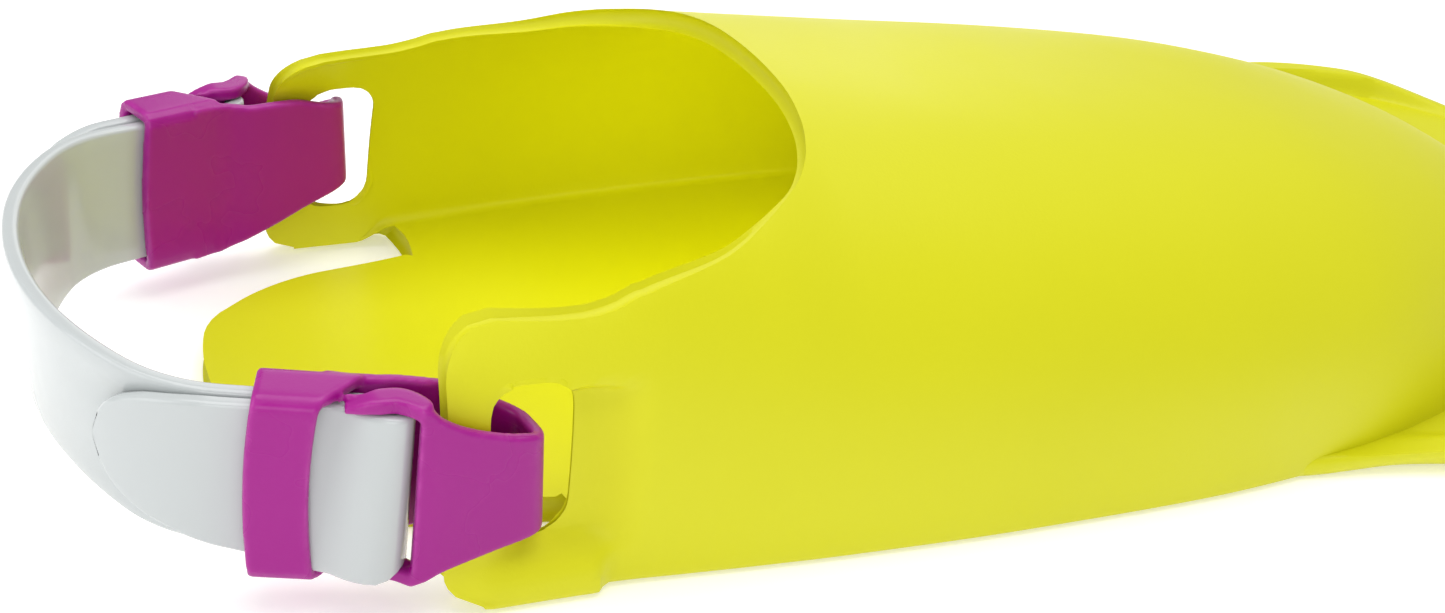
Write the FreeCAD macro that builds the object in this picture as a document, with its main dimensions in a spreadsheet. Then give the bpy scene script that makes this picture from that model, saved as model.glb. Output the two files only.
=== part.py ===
import FreeCAD, Part
import math
import os
import re
import Sketcher
from FreeCAD import Placement, Vector

# Open-heel swim fin with a heel strap held by two hook buckles.
# Frame: +X from heel to blade tip, +Y to the wearer's left, +Z up, millimetres.
# The origin is on the sole's lower face, midway between the two ears.

doc = FreeCAD.newDocument("swim_fin")

# ---------------------------------------------------------------- driving dimensions (mm, degrees)
DIMENSIONS = {
    # cutting tools
    "Beyond": 10.0,
    "CutWidth": 120.0,
    # foot pocket, heel plate and ears
    "WallThick": 3.0,
    "SoleThick": 4.0,
    "ToeWall": 6.0,
    "HeelPlateRear": 18.3,
    "HeelPlateHalf": 32.2,
    "NotchEnd": 18.0,
    "NotchHalf": 41.5,
    "EarRear": 1.8,
    "EarTop": 36.4,
    "EarRadius": 5.0,
    "RimRiseX": 19.0,
    "RimShoulderX": 51.0,
    "RimShoulderZ": 45.8,
    "RimFront": 54.3,
    "RimFrontZ": 50.0,
    "SlotRear": 5.3,
    "SlotLength": 9.2,
    "SlotBottom": 7.2,
    "SlotHeight": 21.4,
    "SlotRadius": 3.2,
    "RecessFace": 43.7,
    "RecessFront": 21.0,
    "RecessBottom": 3.6,
    "RecessTop": 32.0,
    "BossOuter": 47.2,
    "BossRear": 2.0,
    "BossFront": 19.5,
    # blade
    "BladeThick": 3.0,
    "BladeStart": 118.0,
    "BladeRootHalf": 51.6,
    "BladeWideX": 222.0,
    "BladeWideHalf": 76.5,
    "BladeTip": 288.0,
    "RailHeight": 7.0,
    "RailWidth": 5.0,
    "RailMargin": 0.6,
    "RailBend": 243.0,
    "RailEnd": 262.0,
    "RibHeight": 7.0,
    "RibWidth": 3.0,
    "RibSpacing": 24.0,
    "RibStart": 212.0,
    "RibEnd": 274.0,
    # heel strap
    "StrapThick": 2.0,
    "StrapWidth": 21.0,
    "StrapBottom": 6.6,
    "HeelReach": 40.0,
    "HeelRadius": 50.0,
    "BendRadius": 18.0,
    "WrapRadius": 2.1,
    "WrapX": 7.0,
    "LayerPitch": 2.5,
    "StepRun": 7.0,
    "TailSplit": 4.0,
    "TailAngle": 42.0,
    "TailTip": 35.2,
    # buckles
    "PlateThick": 1.6,
    "BuckleBottom": 4.6,
    "BuckleHeight": 25.0,
    "BuckleAngle": 20.0,
    "SleeveInner": 36.6,
    "SleeveOuter": 44.8,
    "SleeveRear": 7.6,
    "SleeveFrontIn": 5.4,
    "SleeveFrontOut": 0.4,
    "StrapLine": 39.4,
    "PassageFloor": 1.6,
    "PassageHeight": 21.8,
    "HookTop": 25.0,
    "HookBottom": 10.8,
    "HookFront": 10.4,
    "HookInner": 37.4,
    "HookOuter": 46.0,
    "WindowFront": 4.0,
    "WindowFloor": 1.8,
    "WindowHeight": 21.4,
}

sheet = doc.addObject("Spreadsheet::Sheet", "dimensions")
for row, (alias, value) in enumerate(DIMENSIONS.items(), start=1):
    sheet.set("A%d" % row, alias)
    sheet.set("B%d" % row, str(value))
    sheet.setAlias("B%d" % row, alias)
doc.recompute()


def dim(alias):
    """The value of one driving dimension, read from the sheet."""
    return float(getattr(sheet, alias))


def bound(formula):
    """The formula with each alias written as a reference to the sheet."""
    return re.sub(r"\b([A-Z]\w+)\b", r"dimensions.\1", formula)


# ---------------------------------------------------------------- sketch and body helpers
def new_sketch(body, name, role, lift="0"):
    """A sketch on one of the body's own planes, lifted along the plane's normal."""
    plane = [item for item in body.Origin.OriginFeatures if item.Role == role][0]
    sketch = body.newObject("Sketcher::SketchObject", name)
    sketch.AttachmentSupport = (plane, "")
    sketch.MapMode = "FlatFace"
    sketch.setExpression("AttachmentOffset.Base.z", "(%s) * 1 mm" % bound(lift))
    doc.recompute()
    return sketch


def add_polygon(sketch, corners):
    """A closed polygon whose corners are held by coordinates bound to the sheet."""
    values = [[float(sketch.evalExpression(bound(text))) for text in corner] for corner in corners]
    first = sketch.GeometryCount
    count = len(corners)
    for index in range(count):
        start = Vector(*values[index], 0)
        end = Vector(*values[(index + 1) % count], 0)
        sketch.addGeometry(Part.LineSegment(start, end), False)
    for index in range(count):
        following = first + (index + 1) % count
        sketch.addConstraint(Sketcher.Constraint("Coincident", first + index, 2, following, 1))
    for index, corner in enumerate(corners):
        for kind, text, value in zip(("DistanceX", "DistanceY"), corner, values[index]):
            number = sketch.addConstraint(
                Sketcher.Constraint(kind, -1, 1, first + index, 1, value))
            sketch.setExpression("Constraints[%d]" % number, bound(text))


def add_curves(sketch, curves):
    """A closed outline of curves that already meet end to end."""
    for curve in curves:
        sketch.addGeometry(curve, False)


def spline(points):
    """An interpolated curve through plan points."""
    curve = Part.BSplineCurve()
    curve.interpolate([Vector(x, y, 0) for x, y in points])
    return curve


def segment(start, end):
    """A straight line between two plan points."""
    return Part.LineSegment(Vector(*start, 0), Vector(*end, 0))


def pad(body, sketch, name, length, midplane=False, backwards=False):
    """A pad whose length is bound to the sheet."""
    feature = body.newObject("PartDesign::Pad", name)
    feature.Profile = sketch
    feature.setExpression("Length", "(%s) * 1 mm" % bound(length))
    feature.Midplane = midplane
    feature.Reversed = backwards
    doc.recompute()
    return feature


def pocket(body, sketch, name, length, midplane=False, backwards=False):
    """A pocket whose depth is bound to the sheet, checked to have removed material."""
    before = body.Shape.Volume
    feature = body.newObject("PartDesign::Pocket", name)
    feature.Profile = sketch
    feature.setExpression("Length", "(%s) * 1 mm" % bound(length))
    feature.Midplane = midplane
    feature.Reversed = backwards
    doc.recompute()
    if body.Shape.Volume >= before - 0.1:
        raise RuntimeError(name + " removed nothing")
    return feature


def fillet_edges(body, feature, name, radius, wanted):
    """A fillet on the edges of a feature for which wanted(edge) is true."""
    edges = ["Edge%d" % (number + 1) for number, edge in enumerate(feature.Shape.Edges) if wanted(edge)]
    rounded = body.newObject("PartDesign::Fillet", name)
    rounded.Base = (feature, edges)
    rounded.setExpression("Radius", "(%s) * 1 mm" % bound(radius))
    doc.recompute()
    return rounded


def along(edge, axis):
    """Whether a straight edge runs along an axis."""
    if edge.Curve.TypeId != "Part::GeomLine":
        return False
    return abs(edge.Curve.Direction.dot(axis)) > 0.999


X_AXIS = Vector(1, 0, 0)
Y_AXIS = Vector(0, 1, 0)
Z_AXIS = Vector(0, 0, 1)


# ---------------------------------------------------------------- foot pocket form
# Each row is a cross-section of the foot pocket's outside: its place along X, its half-width at
# the sole, its crown height and the power of its superellipse (2 is an ellipse, more is squarer).
POCKET_SECTIONS = [
    (-5.0, 45.0, 41.0, 3.5),
    (5.0, 45.5, 44.5, 3.4),
    (14.0, 45.8, 48.0, 3.3),
    (22.0, 46.3, 50.0, 3.2),
    (30.0, 47.2, 51.0, 2.9),
    (40.0, 48.3, 51.0, 2.65),
    (54.0, 49.6, 49.5, 2.5),
    (80.0, 51.2, 46.8, 2.5),
    (110.0, 51.9, 44.2, 2.5),
    (140.0, 50.2, 41.0, 2.5),
    (165.0, 45.2, 36.6, 2.5),
    (185.0, 38.0, 31.0, 2.5),
    (200.0, 30.0, 24.5, 2.45),
    (210.0, 21.0, 17.0, 2.4),
    (216.0, 12.0, 10.0, 2.4),
]
SECTION_POINTS = 24


def pocket_section(place, half_width, crown, power, floor):
    """A closed section: a superellipse arch standing on a straight line at the floor."""
    points = []
    for step in range(SECTION_POINTS + 1):
        angle = math.pi * step / SECTION_POINTS
        cosine = math.cos(angle)
        side = math.copysign(abs(cosine) ** (2.0 / power), cosine)
        rise = abs(math.sin(angle)) ** (2.0 / power)
        points.append(Vector(place, half_width * side, floor + (crown - floor) * rise))
    points[-1].z = floor
    arch = Part.BSplineCurve()
    arch.interpolate(points)
    return Part.Wire([arch.toShape(), Part.LineSegment(points[-1], points[0]).toShape()])


def pocket_form(name, inset, floor, forward):
    """The loft through all the sections, drawn in by an inset and ending short of the toe."""
    wires = []
    for place, half_width, crown, power in POCKET_SECTIONS:
        place = place if place < 0 else place * (1 - forward / POCKET_SECTIONS[-1][0])
        wires.append(pocket_section(place, half_width - inset, crown - inset, power, floor))
    form = doc.addObject("Part::Feature", name)
    form.Shape = Part.makeLoft(wires, True, False)
    return form


pocket_outside = pocket_form("pocket_outside", 0.0, 0.0, 0.0)
pocket_inside = pocket_form("pocket_inside", dim("WallThick"), dim("SoleThick"), dim("ToeWall"))
pocket_shell = doc.addObject("Part::Cut", "pocket_shell")
pocket_shell.Base = pocket_outside
pocket_shell.Tool = pocket_inside

# The side profile keeps the ears' outline and opens the top along the foot opening's rim.
side_profile = doc.addObject("PartDesign::Body", "side_profile")
profile_sketch = new_sketch(side_profile, "profile_sketch", "XZ_Plane")
add_polygon(profile_sketch, [
    ("-EarRear", "-Beyond"),
    ("BladeTip", "-Beyond"),
    ("BladeTip", "RimFrontZ + Beyond"),
    ("RimFront", "RimFrontZ + Beyond"),
    ("RimFront", "RimFrontZ"),
    ("RimShoulderX", "RimShoulderZ"),
    ("RimRiseX", "EarTop"),
    ("-EarRear", "EarTop"),
])
profile_pad = pad(side_profile, profile_sketch, "profile_pad", "CutWidth", midplane=True)
fillet_edges(
    side_profile, profile_pad, "ear_corner", "EarRadius",
    lambda edge: along(edge, Y_AXIS)
    and abs(edge.CenterOfMass.x + dim("EarRear")) < 0.1
    and abs(edge.CenterOfMass.z - dim("EarTop")) < 0.1)

open_pocket = doc.addObject("Part::Common", "open_pocket")
open_pocket.Base = pocket_shell
open_pocket.Tool = side_profile

# ---------------------------------------------------------------- heel plate and notches
notches = doc.addObject("PartDesign::Body", "notches")
notch_sketch = new_sketch(notches, "notch_sketch", "XY_Plane", "-1")
add_polygon(notch_sketch, [
    ("-Beyond", "-NotchHalf"),
    ("NotchEnd", "-NotchHalf"),
    ("NotchEnd", "NotchHalf"),
    ("-Beyond", "NotchHalf"),
])
pad(notches, notch_sketch, "notch_pad", "SoleThick + 2")

notched_pocket = doc.addObject("Part::Cut", "notched_pocket")
notched_pocket.Base = open_pocket
notched_pocket.Tool = notches

heel_plate = doc.addObject("PartDesign::Body", "heel_plate")
plate_sketch = new_sketch(heel_plate, "plate_sketch", "XY_Plane")
# The plate's side runs from inside the pocket round to the rear: places along X, and how far
# each lies inside the plate's greatest half-width.
PLATE_SIDE = [(26.0, -4.0), (13.0, 0.0), (1.6, 2.0), (-6.6, 5.6), (-12.8, 10.6), (-16.8, 18.0)]
plate_side = [(x, dim("HeelPlateHalf") - inward) for x, inward in PLATE_SIDE]
plate_rear = (-dim("HeelPlateRear"), 0.0)
plate_edge = plate_side + [plate_rear] + [(x, -y) for x, y in reversed(plate_side)]
add_curves(plate_sketch, [spline(plate_edge), segment(plate_edge[-1], plate_edge[0])])
pad(heel_plate, plate_sketch, "plate_pad", "SoleThick")

# ---------------------------------------------------------------- ear bosses, recesses and slots
bosses = doc.addObject("PartDesign::Body", "ear_bosses")
boss_sketch = new_sketch(bosses, "boss_sketch", "XY_Plane")
for side in ("", "-"):
    add_polygon(boss_sketch, [
        ("BossRear", side + "RecessFace"),
        ("BossFront", side + "RecessFace"),
        ("BossFront", side + "BossOuter"),
        ("BossRear", side + "BossOuter"),
    ])
boss_pad = pad(bosses, boss_sketch, "boss_pad", "RecessBottom")
fillet_edges(
    bosses, boss_pad, "boss_round", "WallThick * 0.8",
    lambda edge: along(edge, X_AXIS)
    and abs(abs(edge.CenterOfMass.y) - dim("BossOuter")) < 0.1
    and edge.CenterOfMass.z > 1)

recesses = doc.addObject("PartDesign::Body", "ear_recesses")
recess_sketch = new_sketch(recesses, "recess_sketch", "XY_Plane", "RecessBottom")
for side in ("", "-"):
    add_polygon(recess_sketch, [
        ("-EarRear - 5", side + "RecessFace"),
        ("RecessFront", side + "RecessFace"),
        ("RecessFront", side + "RecessFace * 1.2"),
        ("-EarRear - 5", side + "RecessFace * 1.2"),
    ])
pad(recesses, recess_sketch, "recess_pad", "RecessTop - RecessBottom")

slots = doc.addObject("PartDesign::Body", "ear_slots")
slot_sketch = new_sketch(slots, "slot_sketch", "XZ_Plane")
add_polygon(slot_sketch, [
    ("SlotRear", "SlotBottom"),
    ("SlotRear + SlotLength", "SlotBottom"),
    ("SlotRear + SlotLength", "SlotBottom + SlotHeight"),
    ("SlotRear", "SlotBottom + SlotHeight"),
])
slot_pad = pad(slots, slot_sketch, "slot_pad", "CutWidth", midplane=True)
fillet_edges(slots, slot_pad, "slot_round", "SlotRadius", lambda edge: along(edge, Y_AXIS))

# ---------------------------------------------------------------- blade with rails and ribs
blade = doc.addObject("PartDesign::Body", "blade")
blade_sketch = new_sketch(blade, "blade_sketch", "XY_Plane")
root_x = dim("BladeStart")
root_y = dim("BladeRootHalf")
wide_x = dim("BladeWideX")
wide_y = dim("BladeWideHalf")
tip_x = dim("BladeTip")


# Shares of the way from the blade's root to its widest place, and of the flare reached there.
BLADE_FLARE = [(0.0, 0.0), (0.2, 0.055), (0.36, 0.22), (0.62, 0.62), (0.82, 0.9), (1.0, 1.0)]
RAIL_START = 3


def blade_side(sign, inset):
    """One side of the blade: a curve that flares from the foot pocket to the widest place."""
    return [(root_x + (wide_x - root_x) * way, sign * (root_y - inset + (wide_y - root_y) * out))
            for way, out in BLADE_FLARE]


def tip_half(x):
    """The blade's half-width beyond its widest place, where the outline is half an ellipse."""
    share = (x - wide_x) / (tip_x - wide_x)
    return wide_y * math.sqrt(1 - share * share)


tip = Part.ArcOfEllipse(
    Part.Ellipse(Vector(wide_x, wide_y, 0), Vector(tip_x, 0, 0), Vector(wide_x, 0, 0)),
    0, math.pi)
left_side = blade_side(1, 0.0)
right_side = blade_side(-1, 0.0)
add_curves(blade_sketch, [
    segment(right_side[0], left_side[0]),
    spline(left_side),
    tip,
    spline(right_side),
])
pad(blade, blade_sketch, "blade_pad", "BladeThick")

rails = doc.addObject("PartDesign::Body", "blade_rails")
rail_sketch = new_sketch(rails, "rail_sketch", "XY_Plane", "1")
margin = dim("RailMargin")
for sign in (1, -1):
    outer = blade_side(sign, margin)[RAIL_START:]
    outer += [(x, sign * (tip_half(x) - margin)) for x in (dim("RailBend"), dim("RailEnd"))]
    inner = [(x, y - sign * dim("RailWidth")) for x, y in outer[1:-1]]
    inner = [outer[0]] + inner + [outer[-1]]
    add_curves(rail_sketch, [spline(outer), spline(inner)])
pad(rails, rail_sketch, "rail_pad", "RailHeight - 1")

ribs = doc.addObject("PartDesign::Body", "blade_ribs")
rib_sketch = new_sketch(ribs, "rib_sketch", "XZ_Plane", "RibSpacing")
add_polygon(rib_sketch, [
    ("RibStart", "BladeThick * 0.5"),
    ("RibEnd", "BladeThick * 0.5"),
    ("RibEnd", "BladeThick"),
    ("RibStart", "RibHeight"),
])
rib_pad = pad(ribs, rib_sketch, "rib_pad", "RibWidth", midplane=True)
rib_pattern = ribs.newObject("PartDesign::LinearPattern", "rib_pattern")
rib_pattern.Originals = [rib_pad]
rib_pattern.Direction = (rib_sketch, ["N_Axis"])
rib_pattern.Reversed = True
rib_pattern.setExpression("Length", "dimensions.RibSpacing * 2 mm")
rib_pattern.Occurrences = 3
ribs.Tip = rib_pattern
doc.recompute()

# ---------------------------------------------------------------- fin body
joined = doc.addObject("Part::MultiFuse", "joined_rubber")
joined.Shapes = [notched_pocket, heel_plate, bosses, blade, rails, ribs]
ear_cuts = doc.addObject("Part::MultiFuse", "ear_cuts")
ear_cuts.Shapes = [recesses, slots]
fin_body = doc.addObject("Part::Cut", "fin_body")
fin_body.Base = joined
fin_body.Tool = ear_cuts

# ---------------------------------------------------------------- heel strap
# The strap's centre line in plan: round the heel, round each corner, through a buckle, round the
# buckle's bar and back outside itself to a free tail.
buckle_angle = math.radians(dim("BuckleAngle"))
buckle_along = Vector(math.cos(buckle_angle), math.sin(buckle_angle), 0)
buckle_out = Vector(-math.sin(buckle_angle), math.cos(buckle_angle), 0)


def line_piece(start, end):
    """A straight piece of the centre line."""
    return {"start": start, "end": end}


def arc_piece(centre, radius, start_angle, end_angle):
    """A curved piece of the centre line, turning from one angle to another, in degrees."""
    return {"centre": centre, "radius": radius, "from": start_angle, "to": end_angle}


def arc_point(piece, share, offset):
    """A point part of the way round a curved piece, moved outwards from its centre."""
    angle = math.radians(piece["from"] + (piece["to"] - piece["from"]) * share)
    return piece["centre"] + Vector(math.cos(angle), math.sin(angle), 0) * (piece["radius"] + offset)


def side_curve(piece, offset):
    """The curve beside a piece, at an offset to the left of the way the piece runs."""
    if "centre" in piece:
        outward = -offset if piece["to"] > piece["from"] else offset
        return Part.Arc(*[arc_point(piece, share, outward) for share in (0.0, 0.5, 1.0)])
    way = piece["end"] - piece["start"]
    shift = Vector(-way.y, way.x, 0).normalize() * offset
    return Part.LineSegment(piece["start"] + shift, piece["end"] + shift)


def strap_half():
    """The left half's centre line in pieces, from the heel's middle to the tail's end."""
    heel_radius = dim("HeelRadius")
    bend_radius = dim("BendRadius")
    pitch = dim("LayerPitch")
    wrap_radius = dim("WrapRadius")
    heel_centre = Vector(heel_radius - dim("HeelReach"), 0, 0)
    # The bend's centre is one bend radius inside the buckle's line and touches the heel arc.
    foot = buckle_out * (dim("StrapLine") - bend_radius)
    reach = heel_radius - bend_radius
    offset = foot - heel_centre
    slope = offset.dot(buckle_along)
    travel = -slope - math.sqrt(slope * slope - offset.dot(offset) + reach * reach)
    bend_centre = foot + buckle_along * travel
    to_bend = bend_centre - heel_centre
    meet_angle = math.degrees(math.atan2(to_bend.y, to_bend.x))
    line_angle = math.degrees(math.atan2(buckle_out.y, buckle_out.x))
    heel_arc = arc_piece(heel_centre, heel_radius, 180, meet_angle)
    bend_arc = arc_piece(bend_centre, bend_radius, meet_angle, line_angle)
    # The wrap round the bar turns half a turn, then the outer run comes back in line.
    wrap_start = buckle_out * dim("StrapLine")
    wrap_start += buckle_along * ((-dim("WrapX") - wrap_start.x) / buckle_along.x)
    wrap_centre = wrap_start + buckle_out * wrap_radius
    wrap_arc = arc_piece(wrap_centre, wrap_radius, line_angle - 180, line_angle)
    wrap_end = wrap_centre + buckle_out * wrap_radius
    # A shallow S takes the outer run from the wrap's width to the tail layer's.
    step = 2 * wrap_radius - pitch
    run = dim("StepRun")
    s_turn = 2 * math.atan2(step, run)
    s_radius = run / (2 * math.sin(s_turn))
    turn = math.degrees(s_turn)
    first_centre = wrap_end - buckle_out * s_radius
    first_arc = arc_piece(first_centre, s_radius, line_angle, line_angle + turn)
    second_centre = wrap_end - buckle_along * run - buckle_out * step + buckle_out * s_radius
    second_arc = arc_piece(second_centre, s_radius, line_angle + turn - 180, line_angle - 180)
    tail_radius = bend_radius + pitch
    tail_start = bend_centre + buckle_out * tail_radius
    tail_arc = arc_piece(bend_centre, tail_radius, line_angle, line_angle + dim("TailAngle"))
    bend_end = bend_centre + buckle_out * bend_radius
    outer_start = arc_point(second_arc, 1.0, 0.0)
    split = outer_start - buckle_along * dim("TailSplit")
    return [
        heel_arc,
        bend_arc,
        line_piece(bend_end, wrap_start),
        wrap_arc,
        first_arc,
        second_arc,
        line_piece(outer_start, split),
        line_piece(split, tail_start),
        tail_arc,
    ]


def mirrored(curves):
    """The same curves on the right side."""
    copies = []
    for curve in curves:
        copy = curve.copy()
        copy.mirror(Vector(0, 0, 0), X_AXIS)
        copies.append(copy)
    return copies


def band_outline(pieces):
    """The sides of a band of strap thickness along some pieces, and its two end caps."""
    half_thick = dim("StrapThick") / 2
    left = [side_curve(piece, half_thick) for piece in pieces]
    right = [side_curve(piece, -half_thick) for piece in pieces]
    ends = [[curve.toShape().Vertexes for curve in (side[0], side[-1])] for side in (left, right)]
    start_cap = Part.LineSegment(ends[0][0][0].Point, ends[1][0][0].Point)
    end_cap = Part.LineSegment(ends[0][1][-1].Point, ends[1][1][-1].Point)
    return left + right, start_cap, end_cap


half_line = strap_half()
main_curves, _, split_cap = band_outline(half_line[:-2])
tail_curves, tail_start_cap, tail_end_cap = band_outline(half_line[-2:])

strap_main = doc.addObject("PartDesign::Body", "strap_main")
main_sketch = new_sketch(strap_main, "main_sketch", "XY_Plane", "StrapBottom")
add_curves(main_sketch, main_curves + [split_cap])
add_curves(main_sketch, mirrored(main_curves + [split_cap]))
pad(strap_main, main_sketch, "main_pad", "StrapWidth")

strap_tails = doc.addObject("PartDesign::Body", "strap_tails")
tail_sketch = new_sketch(strap_tails, "tail_sketch", "XY_Plane", "StrapBottom")
tail_outline = tail_curves + [tail_start_cap, tail_end_cap]
add_curves(tail_sketch, tail_outline)
add_curves(tail_sketch, mirrored(tail_outline))
pad(strap_tails, tail_sketch, "tail_pad", "StrapWidth")

tongue = doc.addObject("PartDesign::Body", "tail_tongue")
tongue_sketch = new_sketch(tongue, "tongue_sketch", "XZ_Plane")
# The tongue's edge: distances ahead of the tail's tip and heights over the strap's lower edge.
TONGUE_EDGE = [(18.0, -0.2), (10.0, 2.0), (4.0, 4.8), (0.6, 9.0), (0.0, 12.6),
               (1.2, 16.4), (4.6, 19.2), (10.0, 21.2)]
tongue_curve = [(ahead - dim("TailTip"), dim("StrapBottom") + up) for ahead, up in TONGUE_EDGE]
upper_front = (0.0, tongue_curve[-1][1])
lower_front = (0.0, tongue_curve[0][1])
add_curves(tongue_sketch, [
    spline(tongue_curve),
    segment(tongue_curve[-1], upper_front),
    segment(upper_front, lower_front),
    segment(lower_front, tongue_curve[0]),
])
pad(tongue, tongue_sketch, "tongue_pad", "CutWidth", midplane=True)

shaped_tails = doc.addObject("Part::Common", "shaped_tails")
shaped_tails.Base = strap_tails
shaped_tails.Tool = tongue
heel_strap = doc.addObject("Part::MultiFuse", "heel_strap")
heel_strap.Shapes = [strap_main, shaped_tails]

# ---------------------------------------------------------------- buckles
# Corners along and across the buckle's own direction are turned into plan coordinates.


def turned(along_text, outward_text):
    """Expressions of the plan point that lies along and across the left buckle."""
    angle = "BuckleAngle * 1 deg"
    return ("(%s) * cos(%s) - (%s) * sin(%s)" % (along_text, angle, outward_text, angle),
            "(%s) * sin(%s) + (%s) * cos(%s)" % (along_text, angle, outward_text, angle))


buckle_left = doc.addObject("PartDesign::Body", "buckle_left")

sleeve_sketch = new_sketch(buckle_left, "sleeve_sketch", "XY_Plane", "BuckleBottom")
add_polygon(sleeve_sketch, [
    turned("-SleeveRear", "SleeveInner"),
    turned("SleeveFrontIn", "SleeveInner"),
    turned("-SleeveFrontOut", "SleeveOuter"),
    turned("-SleeveRear", "SleeveOuter"),
])
pad(buckle_left, sleeve_sketch, "sleeve_pad", "BuckleHeight")

passage_sketch = new_sketch(
    buckle_left, "passage_sketch", "XY_Plane", "BuckleBottom + PassageFloor")
add_polygon(passage_sketch, [
    turned("-SleeveRear - Beyond", "SleeveInner + PlateThick"),
    turned("SleeveFrontIn + Beyond", "SleeveInner + PlateThick"),
    turned("SleeveFrontIn + Beyond", "SleeveOuter - PlateThick"),
    turned("-SleeveRear - Beyond", "SleeveOuter - PlateThick"),
])
pocket(buckle_left, passage_sketch, "passage", "PassageHeight", backwards=True)

hook_sketch = new_sketch(buckle_left, "hook_sketch", "XY_Plane", "BuckleBottom")
add_polygon(hook_sketch, [
    turned("2", "SleeveInner"),
    turned("SleeveFrontIn + 0.5", "SleeveInner"),
    ("-3", "HookInner - 1.7"),
    ("4", "HookInner - 0.6"),
    ("HookFront - 4.8", "HookInner"),
    ("HookFront", "HookInner"),
    ("HookFront", "HookOuter"),
    ("HookFront - 4.8", "HookOuter"),
    ("-WindowFront", "HookOuter - 0.7"),
    ("-WindowFront", "HookOuter - 2.7"),
    ("-2.8", "HookOuter - PlateThick - 0.2"),
    ("HookFront - PlateThick", "HookOuter - PlateThick"),
    ("HookFront - PlateThick", "HookInner + PlateThick"),
    ("HookFront - 5", "HookInner + PlateThick"),
    ("4", "HookInner + 1.0"),
    ("-3", "HookInner - 0.1"),
    turned("SleeveFrontIn", "SleeveInner + PlateThick"),
    turned("2", "SleeveInner + PlateThick"),
])
hook_pad = pad(buckle_left, hook_sketch, "hook_pad", "BuckleHeight")
fillet_edges(
    buckle_left, hook_pad, "hook_outer_bend", "PlateThick * 2.5",
    lambda edge: along(edge, Z_AXIS) and abs(edge.CenterOfMass.x - dim("HookFront")) < 0.1)
fillet_edges(
    buckle_left, buckle_left.Tip, "hook_inner_bend", "PlateThick * 1.5",
    lambda edge: along(edge, Z_AXIS)
    and abs(edge.CenterOfMass.x - dim("HookFront") + dim("PlateThick")) < 0.1)

frame_sketch = new_sketch(buckle_left, "frame_sketch", "XY_Plane", "BuckleBottom")
add_polygon(frame_sketch, [
    turned("1.6", "StrapLine + 1.15"),
    turned("1.6", "StrapLine + 3.0"),
    turned("4.5", "StrapLine + 5.4"),
    ("-WindowFront - 1.5", "HookOuter - 0.8"),
    ("-WindowFront + 0.8", "HookOuter - 0.7"),
    ("-WindowFront + 0.8", "HookOuter - PlateThick"),
    turned("7.7", "StrapLine + 1.15"),
])
pad(buckle_left, frame_sketch, "frame_pad", "BuckleHeight")

window_sketch = new_sketch(
    buckle_left, "window_sketch", "XY_Plane", "BuckleBottom + WindowFloor")
add_polygon(window_sketch, [
    turned("1.0", "StrapLine + 1.05"),
    turned("1.0", "StrapLine + 7"),
    ("-WindowFront", "HookOuter + 1"),
    ("-WindowFront", "HookOuter - 4.5"),
    turned("8.2", "StrapLine + 1.05"),
])
pocket(buckle_left, window_sketch, "window", "WindowHeight", backwards=True)

bar_sketch = new_sketch(buckle_left, "bar_sketch", "XY_Plane", "BuckleBottom")
add_polygon(bar_sketch, [
    turned("1.6", "StrapLine + 1.15"),
    turned("6.9", "StrapLine + 1.15"),
    turned("7.7", "StrapLine + 1.7"),
    turned("7.7", "StrapLine + 2.5"),
    turned("6.9", "StrapLine + 3.05"),
    turned("3.4", "StrapLine + 2.1"),
    turned("1.6", "StrapLine + 1.4"),
])
pad(buckle_left, bar_sketch, "bar_pad", "BuckleHeight")

trim_sketch = new_sketch(buckle_left, "trim_sketch", "XZ_Plane")
add_polygon(trim_sketch, [
    ("-WindowFront - 1", "BuckleBottom + BuckleHeight + Beyond"),
    ("-WindowFront - 1", "HookTop + 3.2"),
    ("HookFront", "HookTop"),
    ("HookFront + Beyond", "HookTop"),
    ("HookFront + Beyond", "BuckleBottom + BuckleHeight + Beyond"),
])
add_polygon(trim_sketch, [
    ("-WindowFront", "BuckleBottom - Beyond"),
    ("-WindowFront", "BuckleBottom"),
    ("HookFront", "HookBottom"),
    ("HookFront + Beyond", "HookBottom"),
    ("HookFront + Beyond", "BuckleBottom - Beyond"),
])
pocket(buckle_left, trim_sketch, "taper_trim", "CutWidth", midplane=True)

buckle_right = doc.addObject("Part::Mirroring", "buckle_right")
buckle_right.Source = buckle_left
buckle_right.Normal = Y_AXIS

# ---------------------------------------------------------------- checks and export
# Every piece is modelled where it lies, so its placement is the frame itself.
NODES = [fin_body, heel_strap, buckle_left, buckle_right]
for node in NODES:
    node.Placement = Placement()
doc.recompute()
for item in doc.Objects:
    if "Invalid" in item.State or "Error" in item.State:
        raise RuntimeError("%s failed: %s" % (item.Name, item.State))
for node in NODES:
    if node.Shape.isNull() or not node.Shape.isValid():
        raise RuntimeError(node.Label + " has no valid shape")
    if len(node.Shape.Solids) != 1:
        raise RuntimeError("%s has %d solids" % (node.Label, len(node.Shape.Solids)))

os.makedirs("parts", exist_ok=True)
for node in NODES:
    node.Shape.exportStep("parts/%s.step" % node.Label)
    box = node.Shape.BoundBox
    print("%-14s volume %8.0f mm3, X %.1f..%.1f, Y %.1f..%.1f, Z %.1f..%.1f" % (
        node.Label, node.Shape.Volume, box.XMin, box.XMax, box.YMin, box.YMax, box.ZMin, box.ZMax))
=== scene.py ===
"""Looks of an open-heel swim fin: rubber body, heel strap and two hook buckles.

All shapes are worked out in millimetres in the part's own frame and written in metres.
"""
import math

import bpy
import numpy as np
from mathutils import Matrix, Vector


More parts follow.
